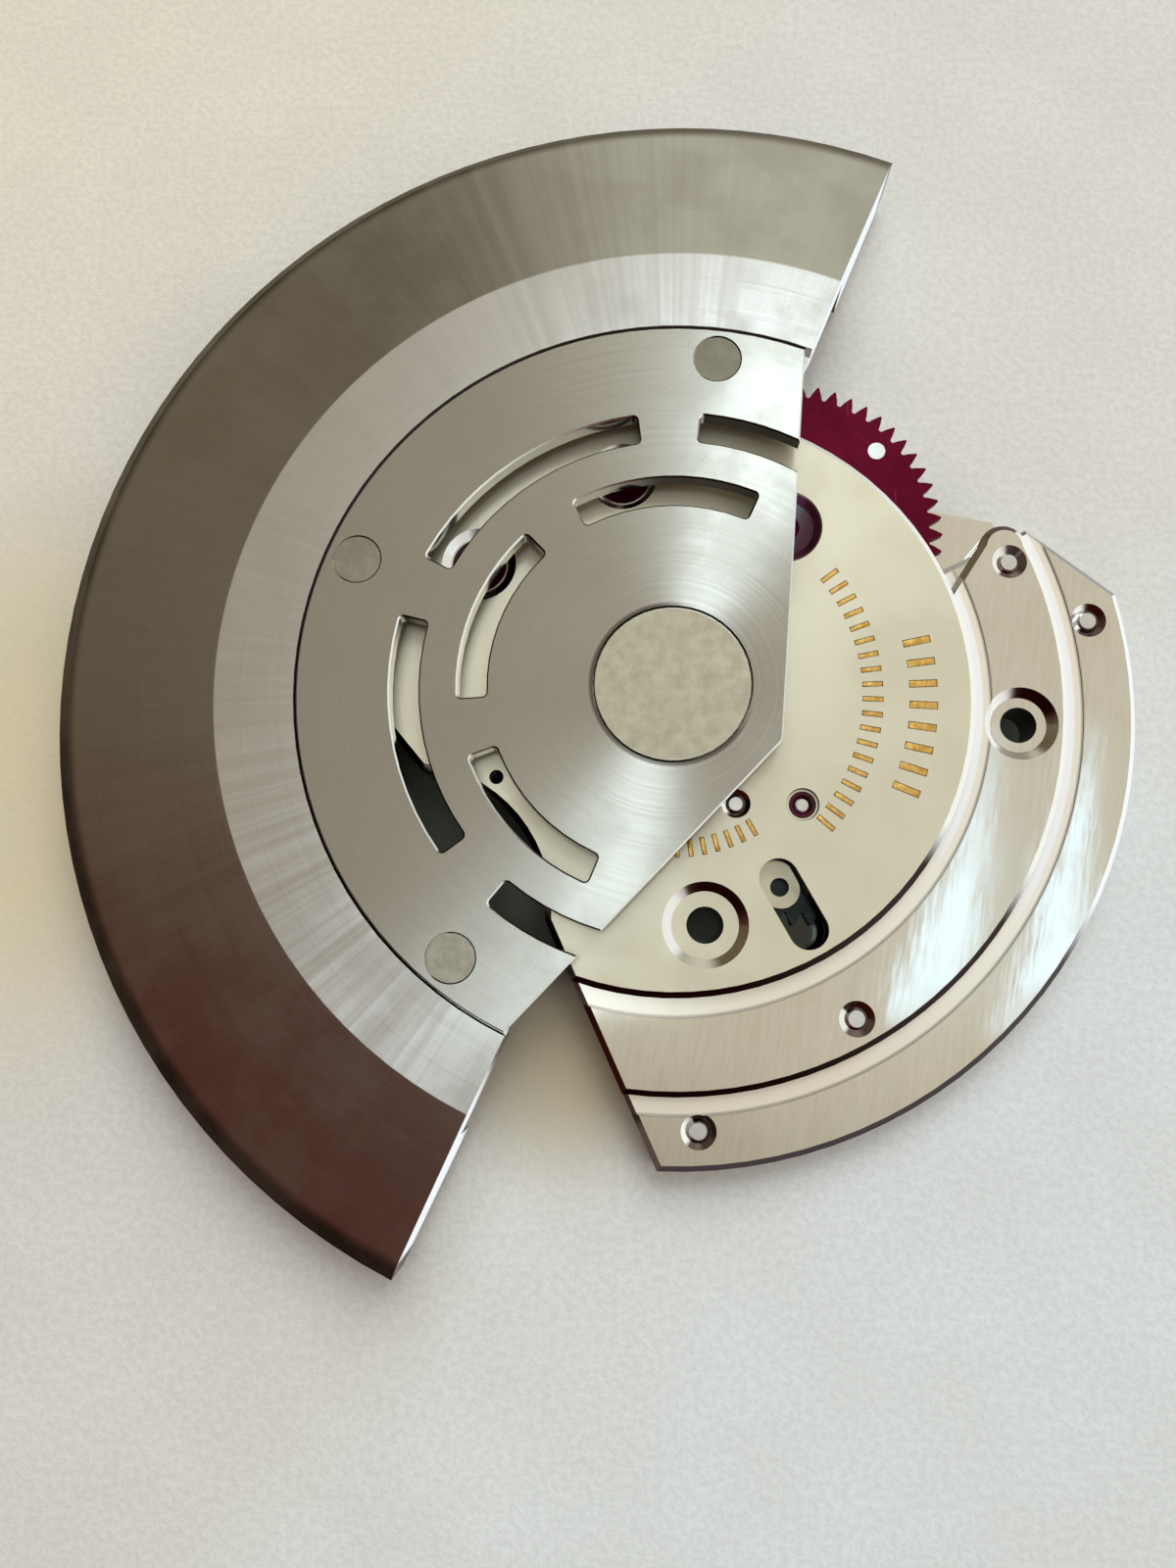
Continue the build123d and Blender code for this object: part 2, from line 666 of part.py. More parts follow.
with BuildPart() as winding_pinion:
    with BuildSketch(Plane.XY.offset(winding_pinion_base)):
        with Locations(driving):
            add(gear_face(winding_teeth, driving_angle, train_addendum_share))
            Circle(winding_stub_radius, mode=Mode.SUBTRACT)
    extrude(amount=winding_pinion_top - winding_pinion_base)
winding_pinion.part.label = "winding_pinion"
export_step(winding_pinion.part, "parts/winding_pinion.step")

# Pierced jewels with an oil cup on the outer side
upper_jewels = (
    ("reverser_upper_jewels", reversers, jewel_radius, jewel_hole_radius, jewel_cup_radius),
    ("intermediate_upper_jewel", [intermediate], jewel_radius, jewel_hole_radius, jewel_cup_radius),
    ("driving_upper_jewel", [driving], driving_jewel_radius, driving_jewel_hole_radius, driving_jewel_cup_radius),
)
for name, places, radius, hole_radius, cup_radius in upper_jewels:
    with BuildPart() as jewel:
        cylinders(places, radius, upper_jewel_base, upper_jewel_top)
        cylinders(places, hole_radius, upper_jewel_base, upper_jewel_top, Mode.SUBTRACT)
        cone_sinks(places, upper_jewel_top, upper_jewel_top - jewel_cup_depth, cup_radius, hole_radius)
    jewel.part.label = name
    export_step(jewel.part, f"parts/{name}.step")

lower_jewels = (("reverser_lower_jewels", reversers), ("intermediate_lower_jewel", [intermediate]))
for name, places in lower_jewels:
    with BuildPart() as jewel:
        cylinders(places, jewel_radius, lower_jewel_base, lower_jewel_top)
        cylinders(places, jewel_hole_radius, lower_jewel_base, lower_jewel_top, Mode.SUBTRACT)
        with Locations(*[(x, y, lower_jewel_base) for x, y in places]):
            Cone(jewel_cup_radius, jewel_hole_radius, jewel_cup_depth, align=on_base, mode=Mode.SUBTRACT)
    jewel.part.label = name
    export_step(jewel.part, f"parts/{name}.step")

# Ring jewels round the rotor's axle and the driving arbor
ring_jewels = (
    ("upper_rotor_jewel", centre, rotor_jewel_radius, axle_journal_radius, ceiling, ceiling + rotor_jewel_thickness),
    ("lower_rotor_jewel", centre, post_jewel_radius, axle_pivot_radius, post_jewel_base, post_jewel_top),
    (
        "driving_lower_jewel",
        driving,
        jewel_radius,
        driving_journal_radius,
        lower_jewel_top - lower_driving_jewel_thickness,
        lower_jewel_top,
    ),
)
for name, place, radius, journal_radius, low, high in ring_jewels:
    with BuildPart() as jewel:
        cylinders([place], radius, low, high)
        chamfer(level_edges(jewel, high), edge_bevel)
        cylinders([place], journal_radius + running_gap, low, high, Mode.SUBTRACT)
    jewel.part.label = name
    export_step(jewel.part, f"parts/{name}.step")


def south_west_cut():
    # the bridges are cut away here for the balance
    west_inner, west_outer = shared(west_edge_shares, plateau_3_radius)
    south_inner, south_outer = shared(south_edge_shares, plateau_3_radius)
    with BuildSketch(mode=Mode.PRIVATE) as cut:
        Polygon(
            west_inner,
            west_outer,
            (-cut_reach, 0),
            (-cut_reach, -cut_reach),
            (south_outer[0], -cut_reach),
            south_outer,
            south_inner,
        )
        with Locations((balance_cut_x, balance_cut_y)):
            Circle(balance_cut_radius)
    return cut.sketch


def north_cut(places):
    # the bridges end in the north-east at the line through these places, and in the west at a ray from the centre
    west_side = polar(cut_reach, west_side_angle)
    with BuildSketch(mode=Mode.PRIVATE) as cut:
        Polygon(*places, centre, west_side, (-cut_reach, cut_reach), (cut_reach, cut_reach))
    return cut.sketch


# Upper bridge: three plateaus, hollowed from below for the wheels
tongue_inner, tongue_outer, tongue_end = shared(tongue_shares, plateau_3_radius)
tongue_places = (polar(cut_reach, tongue_angle), tongue_end, tongue_outer, tongue_inner)
with BuildPart() as upper_bridge:
    with BuildSketch():
        Circle(plateau_3_radius)
        add(north_cut(shared(north_east_shares, plateau_3_radius)), mode=Mode.SUBTRACT)
        add(south_west_cut(), mode=Mode.SUBTRACT)
    extrude(amount=plateau_3_top)
    chamfer(level_edges(upper_bridge, plateau_3_top), step_bevel)
    cylinders([centre], lower_bridge_radius + skirt_gap, 0, lower_bridge_thickness, Mode.SUBTRACT)
    with BuildSketch(Plane.XY.offset(lower_bridge_thickness)):
        Circle(plateau_2_radius)
        add(north_cut(tongue_places), mode=Mode.SUBTRACT)
        with Locations(tongue_end):
            Circle(tongue_end_radius)
        add(south_west_cut(), mode=Mode.SUBTRACT)
    extrude(amount=plateau_2_top - lower_bridge_thickness)
    chamfer(level_edges(upper_bridge, plateau_2_top), step_bevel)
    with BuildSketch(Plane.XY.offset(lower_bridge_thickness)):
        Circle(plateau_1_radius)
        add(south_west_cut(), mode=Mode.SUBTRACT)
    extrude(amount=plateau_1_top - lower_bridge_thickness)
    chamfer(level_edges(upper_bridge, plateau_1_top), step_bevel)
    for foot_radius, face in ((plateau_1_radius, plateau_2_top), (plateau_2_radius, plateau_3_top)):
        with BuildSketch(Plane.XY.offset(face)):
            Circle(foot_radius + turned_band_width)
            Circle(foot_radius, mode=Mode.SUBTRACT)
        extrude(amount=-turned_band_depth, mode=Mode.SUBTRACT)

    # room for the wheels, the lock and the arbor
    cylinders(reversers, disc_pocket_radius, -overrun, ceiling, Mode.SUBTRACT)
    cylinders([centre], centre_pocket_radius, -overrun, ceiling, Mode.SUBTRACT)
    cylinders([intermediate], intermediate_pocket_radius, -overrun, ceiling, Mode.SUBTRACT)
    cylinders([driving], driving_pocket_radius, -overrun, lower_wheel_top + pocket_gap, Mode.SUBTRACT)
    cylinders([driving], driving_arbor_radius + arbor_pocket_gap, -overrun, ceiling, Mode.SUBTRACT)
    with BuildSketch(Plane.XY.offset(-overrun)):
        stretched_hole(0, lock_end_reach + lock_travel, lock_half_width + lock_side_gap)
        stretched_hole(0, lock_travel, lock_fork_radius + lock_side_gap)
    extrude(amount=overrun + groove_top, mode=Mode.SUBTRACT)
    with BuildSketch(Plane.XY.offset(groove_top)):
        stretched_hole(window_inner_reach, window_outer_reach, window_radius)
    extrude(amount=overrun, mode=Mode.SUBTRACT)

    # jewel seats and their sinks
    cylinders([centre], rotor_jewel_radius, ceiling, plateau_1_top + overrun, Mode.SUBTRACT)
    cylinders([*reversers, intermediate], jewel_radius, 0, plateau_1_top, Mode.SUBTRACT)
    cylinders([driving], driving_jewel_radius, 0, plateau_1_top, Mode.SUBTRACT)
    for places, face_radius, seat_radius in (
        (reversers, reverser_sink_radius, jewel_radius),
        ([intermediate], intermediate_sink_radius, jewel_radius),
        ([driving], driving_sink_radius, driving_jewel_radius),
    ):
        cone_sinks(places, plateau_1_top, upper_jewel_top, face_radius, seat_radius + jewel_seat_slope)

    # screws, pins and bushes
    for place, face, seat_radius in (
        (east_screw, plateau_2_top, east_seat_radius),
        ((south_screw_x, south_screw_y), plateau_1_top, south_seat_radius),
    ):
        cylinders([place], screw_hole_radius, -overrun, face + overrun, Mode.SUBTRACT)
        cone_sinks([place], face, face - seat_depth, seat_radius, seat_radius - seat_wall_slope)
    for places, face, hole_radius, sink_radius in (
        (bridge_pin_places, plateau_2_top, pin_radius, pin_sink_radius),
        (bush_places, plateau_3_top, pin_radius, pin_sink_radius),
        ([polar(guide_pin_reach, lock_angle)], plateau_1_top, guide_pin_radius, guide_pin_sink_radius),
    ):
        cylinders(places, hole_radius, -overrun, face + overrun, Mode.SUBTRACT)
        cone_sinks(places, face, face - pin_sink_depth, sink_radius, hole_radius)
    cylinders(bush_places, bush_radius, -overrun, bush_top, Mode.SUBTRACT)
    cylinders(bridge_screw_places, bridge_screw_radius, -overrun, bridge_screw_top + end_gap, Mode.SUBTRACT)
    cylinders([(sight_hole_x, sight_hole_y)], sight_hole_radius, -overrun, plateau_1_top + overrun, Mode.SUBTRACT)

    # rings of shallow marks
    for reach, length, width, first_bearing, last_bearing, count in mark_rings:
        spread = (last_bearing - first_bearing) / (count - 1)
        with BuildSketch(Plane.XY.offset(plateau_1_top)):
            for bearing in [first_bearing + mark * spread for mark in range(count)]:
                with Locations(Location((*polar(reach + length / 2, bearing), 0), (0, 0, bearing))):
                    Rectangle(length, width)
        extrude(amount=-mark_depth, mode=Mode.SUBTRACT)
upper_bridge.part.label = "upper_bridge"
export_step(upper_bridge.part, "parts/upper_bridge.step")

# Lower bridge: carries the lower jewels and the centre post
with BuildPart() as lower_bridge:
    with BuildSketch():
        Circle(lower_bridge_radius)
        add(north_cut(shared(lower_bridge_north_east_shares, plateau_3_radius)), mode=Mode.SUBTRACT)
        Circle(lower_bridge_north_radius)
        add(south_west_cut(), mode=Mode.SUBTRACT)
    extrude(amount=lower_bridge_thickness)
    chamfer(level_edges(lower_bridge, 0), edge_bevel)
    cylinders([centre], post_flange_radius, 0, lower_bridge_thickness, Mode.SUBTRACT)
    jewel_places = [*reversers, intermediate]
    cylinders(jewel_places, jewel_radius, lower_jewel_base, lower_bridge_thickness, Mode.SUBTRACT)
    cylinders(jewel_places, jewel_sight_radius, 0, lower_jewel_base, Mode.SUBTRACT)
    driving_seat_base = lower_jewel_top - lower_driving_jewel_thickness
    cylinders([driving], jewel_radius, driving_seat_base, lower_bridge_thickness, Mode.SUBTRACT)
    cylinders([driving], winding_recess_radius, 0, winding_recess_depth, Mode.SUBTRACT)
    cylinders([driving], driving_journal_radius + arbor_pocket_gap, 0, lower_bridge_thickness, Mode.SUBTRACT)
    ratchet_place = beyond(driving, ratchet_recess_reach, ratchet_recess_angle)
    cylinders([ratchet_place], ratchet_recess_radius, 0, winding_recess_depth, Mode.SUBTRACT)
    screw_places = [east_screw, (south_screw_x, south_screw_y)]
    cylinders(screw_places, screw_hole_radius, 0, lower_bridge_thickness, Mode.SUBTRACT)
    cylinders(bridge_pin_places, pin_radius, 0, lower_bridge_thickness, Mode.SUBTRACT)
    cylinders(bridge_screw_places, bridge_screw_radius + running_gap, 0, lower_bridge_thickness, Mode.SUBTRACT)
    seat_radius = bridge_screw_head_radius + running_gap
    cylinders(bridge_screw_places, seat_radius, 0, bridge_screw_seat, Mode.SUBTRACT)
    cylinders([(sight_hole_x, sight_hole_y)], sight_hole_radius, 0, lower_bridge_thickness, Mode.SUBTRACT)
lower_bridge.part.label = "lower_bridge"
export_step(lower_bridge.part, "parts/lower_bridge.step")

# Axle lock: forked slide in the axle's groove, and the pin that guides it
with BuildPart() as axle_lock:
    with BuildSketch(Plane.XY.offset(lock_base)):
        Circle(lock_fork_radius)
        with Locations(polar(lock_tine_reach + lock_fork_radius, lock_angle + 180)):
            Rectangle(lock_fork_radius + lock_fork_radius, cut_reach, rotation=lock_angle, mode=Mode.SUBTRACT)
        stretched_hole(0, lock_end_reach - lock_half_width, lock_half_width)
        with Locations(polar(lock_hole_reach, lock_angle)):
            Circle(lock_hole_radius, mode=Mode.SUBTRACT)
        with Locations(polar(lock_fork_radius / 2, lock_angle + 180)):
            SlotCenterToCenter(
                lock_fork_radius,
                axle_groove_radius + axle_groove_radius + lock_side_gap,
                rotation=lock_angle,
                mode=Mode.SUBTRACT,
            )
        guide_last = guide_pin_reach + running_gap
        with Locations(polar(guide_last - lock_travel / 2 - running_gap, lock_angle)):
            SlotCenterToCenter(
                lock_travel + running_gap + running_gap,
                guide_pin_radius + guide_pin_radius + running_gap + running_gap,
                rotation=lock_angle,
                mode=Mode.SUBTRACT,
            )
    extrude(amount=lock_thickness)
axle_lock.part.label = "axle_lock"
export_step(axle_lock.part, "parts/axle_lock.step")

guide_pin_place = polar(guide_pin_reach, lock_angle)
guide_pin_foot = lock_base - running_gap - guide_pin_head_thickness
with BuildPart() as lock_guide_pin:
    cylinders([guide_pin_place], guide_pin_radius, guide_pin_foot, plateau_1_top - pin_recess)
    cylinders([guide_pin_place], guide_pin_head_radius, guide_pin_foot, guide_pin_foot + guide_pin_head_thickness)
    chamfer(level_edges(lock_guide_pin, plateau_1_top - pin_recess), edge_bevel)
lock_guide_pin.part.label = "lock_guide_pin"
export_step(lock_guide_pin.part, "parts/lock_guide_pin.step")

# Pins, bushes and screws that hold the two bridges together
with BuildPart() as bridge_pins:
    cylinders(bridge_pin_places, pin_radius, pin_recess, plateau_2_top - pin_recess)
    chamfer(level_edges(bridge_pins, plateau_2_top - pin_recess), edge_bevel)
bridge_pins.part.label = "bridge_pins"
export_step(bridge_pins.part, "parts/bridge_pins.step")

with BuildPart() as locating_bushes:
    cylinders(bush_places, bush_radius, 0, bush_top)
    cylinders(bush_places, pin_radius, bush_top, plateau_3_top - pin_recess)
    chamfer(level_edges(locating_bushes, plateau_3_top - pin_recess), edge_bevel)
    cylinders(bush_places, bush_bore_radius, 0, bush_bore_depth, Mode.SUBTRACT)
locating_bushes.part.label = "locating_bushes"
export_step(locating_bushes.part, "parts/locating_bushes.step")

with BuildPart() as bridge_screws:
    cylinders(bridge_screw_places, bridge_screw_head_radius, bridge_screw_recess, bridge_screw_seat)
    cylinders(bridge_screw_places, bridge_screw_radius, bridge_screw_seat, bridge_screw_top)
    with BuildSketch(Plane.XY.offset(bridge_screw_recess)):
        with Locations(*bridge_screw_places):
            Rectangle(bridge_screw_head_radius + bridge_screw_head_radius, driver_slot_width)
    extrude(amount=driver_slot_depth, mode=Mode.SUBTRACT)
bridge_screws.part.label = "bridge_screws"
export_step(bridge_screws.part, "parts/bridge_screws.step")
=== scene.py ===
import json
import math

import bmesh
import bpy
from bpy.props import FloatProperty, FloatVectorProperty, IntProperty, PointerProperty
from mathutils import Matrix, Vector


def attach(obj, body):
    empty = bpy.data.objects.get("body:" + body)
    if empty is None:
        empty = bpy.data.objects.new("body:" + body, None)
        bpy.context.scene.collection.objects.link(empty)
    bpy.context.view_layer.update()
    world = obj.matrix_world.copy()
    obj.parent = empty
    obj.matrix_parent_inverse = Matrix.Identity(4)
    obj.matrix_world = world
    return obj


bl_info = {
    "name": "Automatic winding module",
    "version": (1, 0, 0),
    "blender": (4, 5, 0),
    "location": "View3D > Sidebar > Winding module",
    "description": "Dresses an oscillating weight and its bridges with turned, brushed and polished finishes",
    "category": "Object",
}

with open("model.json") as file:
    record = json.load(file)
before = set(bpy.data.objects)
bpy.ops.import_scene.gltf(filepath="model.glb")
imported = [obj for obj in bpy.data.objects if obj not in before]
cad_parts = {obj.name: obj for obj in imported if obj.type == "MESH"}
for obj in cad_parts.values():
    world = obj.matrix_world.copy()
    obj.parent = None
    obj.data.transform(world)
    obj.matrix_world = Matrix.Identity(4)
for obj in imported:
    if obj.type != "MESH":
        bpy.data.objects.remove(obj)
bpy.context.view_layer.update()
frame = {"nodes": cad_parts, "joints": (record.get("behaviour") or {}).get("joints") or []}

MM = 0.001

# Places on the CAD pieces, in millimetres and degrees
TOP_PLATEAU = 1.74
STEPS = ((6.73, 1.60), (8.85, 1.20))  # radius at the foot of each step, and a height halfway up it
# painted shade: upright walls within this radius are painted dark, as the walls of openings
OPENINGS_RADIUS = (8.60, 8.75)  # upright walls within this radius belong to openings
# painted shade: below this height, and within the next radius, the bridges are painted near black
DEEP_HEIGHT = (0.85, 0.95)  # below this, and within the next radius, the bridges are dark
DEEP_RADIUS = (6.6, 6.8)
FROSTED_HEIGHT = (1.43, 1.49)
SCREW_SINKS = ((7.73, -0.56, 1.3), (0.73, -5.13, 1.6))
JEWEL_SINK_RADIUS = (0.80, 0.84)
NORTH_EAR = (6.2, 3.5, 1.2)
MARK_DEPTH = 0.04
MARK_ROUNDING = 0.02
MARK_RINGS = (  # inner radius, length, width, first bearing, last bearing, number of marks
    (5.25, 0.62, 0.17, -23.0, 12.0, 8),
    (4.22, 0.46, 0.12, -41.0, 37.0, 19),
    (3.30, 0.40, 0.11, 272.0, 300.0, 7),
)
STEEL_NODES = (
    "rotor_pinion", "intermediate_pinion", "centre_post", "driving_arbor", "winding_pinion", "lock_guide_pin",
    "bridge_pins", "locating_bushes", "bridge_screws", "reverser_1_pawl_pins", "reverser_2_pawl_pins",
    "reverser_1_pawl_a", "reverser_1_pawl_b", "reverser_2_pawl_a", "reverser_2_pawl_b", "reverser_1_arbor",
    "reverser_2_arbor",
)

# Level directions
NORTH_EAST = (0.87, 0.50, 0.0)
NORTH_WEST = (-0.8, 0.6, 0.0)
SOUTH_EAST = (0.7, -0.7, 0.0)
SUNNY_WAY = (0.96, -0.27, 0.0)
UNCOVERED_WAY = (0.956, -0.29, 0.0)  # square to the rotor's straight edge at rest
SINK_SHADE_WAY = (-0.40, -0.92, 0.0)
ACROSS_GRAIN = (0.98, -0.17, 0.0)
ALONG_GRAIN = (0.17, 0.98, 0.0)

# Where a mask starts and where it is full
LEVEL_FACE = (0.985, 0.997)
LINES = (0.36, 0.62)
CLOUDS = (0.35, 0.65)
EAST_SIDE = (0.42, 0.58)

# Camera, lamps and sky
CAMERA_PLACE = (-0.760, -5.818, 27.290)  # millimetres
CAMERA_AXES = (  # the photograph's right, up and back, as rows
    (0.9991159, 0.0096380, -0.0409200),
    (-0.0036080, 0.9894323, 0.1449508),
    (0.0418846, -0.1446751, 0.9885923),
)
CAMERA_FOCUS = 1193.4  # pixels, in a picture as tall as this:
PICTURE_HEIGHT = 1600
SENSOR = 36.0
NEAREST, FARTHEST = 0.001, 10.0  # metres
PANES = (  # middle, bearing, length and width of the bright panes overhead, in millimetres, and their light
    ((15.1, 59.0, 120.0), 70.0, 32.0, 15.0, 6.0),
    ((-3.3, -0.2, 120.0), 76.0, 18.0, 14.0, 5.4),
    ((-22.0, -15.0, 120.0), 45.0, 40.0, 20.0, 1.0),
)
GLINTS = (  # the two edges of each narrow pane, in millimetres, whose image crosses a plateau
    (
        ((43.7, 22.3), (42.7, 13.1), (41.5, 4.8), (40.5, -1.9), (38.2, -8.9), (32.3, -12.8)),
        ((42.9, 22.3), (40.4, 13.1), (37.4, 4.7), (34.0, -2.0), (30.7, -9.8), (29.1, -13.7)),
    ),
    (
        ((55.8, 23.0), (54.7, 13.2), (53.8, 4.9), (53.3, -1.2), (51.1, -7.1), (44.6, -13.6)),
        ((55.0, 23.0), (52.1, 11.5), (50.0, 4.9), (47.9, -1.8), (45.2, -9.5), (41.4, -15.5)),
    ),
)
GLINT_HEIGHT = 120.0
CARD_RADII = (11.2, 19.0)  # the low card lies round the module's east side
CARD_HEIGHT = 0.03
CARD_START, CARD_STEP, CARD_POINTS = -110.0, 3.0, 71
SKY = {  # colours, and for the sides the bearing too
    "high west": (0.42, 0.38, 0.31),
    "high east": (0.74, 0.72, 0.65),
    "side": (0.27, 0.22, 0.14),
    "north": (68.0, (1.42, 1.45, 1.30)),
    "east": (0.0, (0.85, 0.85, 0.80)),
    "south": (240.0, (0.15, 0.030, 0.022)),
    "horizon": (0.10, 0.06, 0.05),
    "low north": (0.60, 0.58, 0.52),
    "low east": (0.95, 0.95, 0.90),
    "overhead shade": (0.0, 0.0, 0.0),
    "seen by the camera": (0.83, 0.82, 0.79),
}
# painted shade on the paper under the module
SHADE_UNDER_MODULE = (((-2.5, 0.0, 0.0), 6.0), ((3.6, -2.0, 0.0), 4.7))  # middle and radius, under the module
# painted warm shade on the left of the paper
WARM_SHADE_ON_PAPER = (-15.5, -0.9, 0.0)
# painted shadow on the paper in the notch between the weight and the bridge
NOTCH_SHADOW = (-2.3, -8.1, 0.0)
TINTS = {
    "pale streak": (0.86, 0.86, 0.85),
    "dark streak": (0.07, 0.06, 0.05),
    "worn weight": (0.33, 0.29, 0.23),
    # painted dark reflection: the rim's bevel and the rim wall are painted near black
    "rim": (0.10, 0.085, 0.06),
    "rim wall in painted shade": (0.09, 0.08, 0.065),
    "weight bevel": (0.95, 0.96, 0.97),
    "turned line": (0.78, 0.76, 0.72),
    "worn plate": (0.38, 0.35, 0.29),
    # painted shade round the axle's head
    "oil": (0.07, 0.05, 0.035),
    "slot in shade": (0.045, 0.035, 0.03),
    "slot in light": (0.90, 0.91, 0.90),
    "clouded head": (0.58, 0.54, 0.41),
    "scratched head": (0.70, 0.68, 0.60),
    "polished head": (0.50, 0.47, 0.38),
    "head edge in shade": (0.05, 0.04, 0.03),
    "head edge in light": (0.95, 0.94, 0.88),
    "south rivet": (0.52, 0.48, 0.39),
    # painted shade: the north rivet is darker
    "north rivet in painted shade": (0.27, 0.24, 0.18),
    "clouded rivet": (0.20, 0.18, 0.13),
    "rivet edge": (0.55, 0.53, 0.48),
    "worn satin": (0.62, 0.56, 0.44),
    "satin line": (0.88, 0.84, 0.75),
    "turned band": (0.93, 0.86, 0.72),
    # painted highlight on the east side of the turned band
    "band in painted light": (1.0, 1.0, 1.0),
    "groove": (0.26, 0.22, 0.18),
    "inner bevel in shade": (0.15, 0.11, 0.10),
    "outer bevel in shade": (0.045, 0.03, 0.03),
    "grey bevel": (0.42, 0.39, 0.33),
    "sink in shade": (0.06, 0.045, 0.04),
    "bevel in light": (0.97, 0.97, 0.96),
    # painted shade on the walls of openings
    "opening": (0.06, 0.06, 0.05),
    "outer flank": (0.60, 0.56, 0.49),
    "frosted": (0.76, 0.71, 0.54),
    "worn frosted": (0.69, 0.63, 0.46),
    # painted light on the frosted plateau under the rotor
    "frosted in painted light": (0.95, 0.88, 0.68),
    # painted shade deep inside the bridges
    "deep inside in painted shade": (0.05, 0.052, 0.042),
    "jewel sink": (0.05, 0.012, 0.025),
    "deep gilding": (0.62, 0.33, 0.07),
    "scratched disc": (0.45, 0.10, 0.16),
    # painted shade on the driving wheel
    "wheel_in_painted_shade": (0.022, 0.026, 0.024),
    "smudged wheel in painted shade": (0.045, 0.045, 0.040),
    "worn brass": (0.62, 0.40, 0.16),
    "worn steel": (0.52, 0.49, 0.44),
    "scratched steel": (0.90, 0.90, 0.88),
    "lock": (0.66, 0.59, 0.42),
    "worn lock": (0.50, 0.43, 0.29),
    # painted shade on the lock's walls
    "lock wall in painted shade": (0.12, 0.11, 0.08),
    # painted warm and cool light on the paper
    "paper in painted warm light": (0.90, 0.85, 0.71),
    "paper in painted cool light": (0.86, 0.91, 0.91),
    # painted warm shade on the paper
    "paper in painted warm shade": (0.81, 0.72, 0.50),
    # painted shadow in the notch
    "painted shadow in the notch": (0.60, 0.53, 0.36),
    # painted shade under the module
    "painted shade under the module": (0.13, 0.14, 0.105),
    "clouded paper": (0.62, 0.60, 0.54),
    "window": (0.90, 0.95, 1.0),
    "pane": (0.68, 0.86, 1.0),
    "card": (0.93, 0.97, 1.0),
    "glint": (0.62, 0.80, 1.0),
}


# Shader building


class Graph:
    """Adds nodes to a node tree and links them, one line for each node."""

    def __init__(self, tree):
        self.tree = tree

    def node(self, kind, inputs=None, **settings):
        node = self.tree.nodes.new(kind)
        for name, value in settings.items():
            setattr(node, name, value)
        for name, value in (inputs or {}).items():
            self.give(node.inputs[name], value)
        return node

    def give(self, socket, value):
        if isinstance(value, bpy.types.NodeSocket):
            self.tree.links.new(value, socket)
        elif isinstance(value, tuple) and socket.type == "RGBA":
            socket.default_value = (*value, 1.0)
        else:
            socket.default_value = value

    def math(self, operation, first, second=0.0):
        return self.node("ShaderNodeMath", {0: first, 1: second}, operation=operation).outputs[0]

    def product(self, first, *others):
        for other in others:
            first = self.math("MULTIPLY", first, other)
        return first

    def inverse(self, value):
        return self.math("SUBTRACT", 1.0, value)

    def vector(self, operation, first, second=(0, 0, 0), scale=None):
        node = self.node("ShaderNodeVectorMath", {0: first, 1: second}, operation=operation)
        if scale is not None:
            self.give(node.inputs["Scale"], scale)
        return node.outputs["Value" if operation in ("LENGTH", "DISTANCE", "DOT_PRODUCT") else "Vector"]

    def towards(self, way, aim):
        """How far one direction points along another."""
        return self.vector("DOT_PRODUCT", way, aim)

    def mix(self, factor, first, second):
        node = self.node("ShaderNodeMix", data_type="RGBA")
        for socket, value in ((node.inputs[0], factor), (node.inputs[6], first), (node.inputs[7], second)):
            self.give(socket, value)
        return node.outputs[2]

    def wash(self, base, tint, mask, share):
        """Lays a share of a tint over a colour, where a mask says."""
        return self.mix(self.product(mask, share), base, tint)

    def streak(self, base, tint, mask, share, span=LINES):
        """Lays up to a share of a tint over a colour, more the further a pattern rises through a span."""
        return self.mix(self.step(mask, *span, 0.0, share), base, tint)

    def blend(self, factor, first, second):
        node = self.node("ShaderNodeMix", data_type="FLOAT")
        for socket, value in ((node.inputs[0], factor), (node.inputs[2], first), (node.inputs[3], second)):
            self.give(socket, value)
        return node.outputs[0]

    def step(self, value, low, high, first=0.0, last=1.0):
        inputs = {"Value": value, "From Min": low, "From Max": high, "To Min": first, "To Max": last}
        return self.node("ShaderNodeMapRange", inputs, interpolation_type="SMOOTHSTEP").outputs[0]

    def fade(self, value, low, high):
        return self.step(value, low, high, 1.0, 0.0)

    def near(self, place, middle, low, high):
        """1 within the first distance of a point, and 0 beyond the second."""
        return self.fade(self.vector("DISTANCE", place, middle), low, high)

    def noise(self, place, scale, detail=3.0, roughness=0.55):
        inputs = {"Vector": place, "Scale": scale, "Detail": detail, "Roughness": roughness}
        return self.node("ShaderNodeTexNoise", inputs).outputs["Fac"]

    def bump(self, height, strength, depth):
        inputs = {"Height": height, "Strength": strength, "Distance": depth * MM}
        return self.node("ShaderNodeBump", inputs).outputs[0]

    def split(self, vector):
        node = self.node("ShaderNodeSeparateXYZ", {0: vector})
        return node.outputs[0], node.outputs[1], node.outputs[2]

    def join(self, x, y, z):
        return self.node("ShaderNodeCombineXYZ", {0: x, 1: y, 2: z}).outputs[0]


def new_group(name, inputs, outputs):
    """An empty shader node group with its sockets, as (group, graph, input sockets, output sockets)."""
    group = bpy.data.node_groups.new(name, "ShaderNodeTree")
    for label, kind, default in inputs:
        socket = group.interface.new_socket(label, in_out="INPUT", socket_type=kind)
        socket.default_value = default
    for label, kind in outputs:
        group.interface.new_socket(label, in_out="OUTPUT", socket_type=kind)
    graph = Graph(group)
    first = graph.node("NodeGroupInput")
    last = graph.node("NodeGroupOutput")
    return group, graph, first.outputs, last.inputs


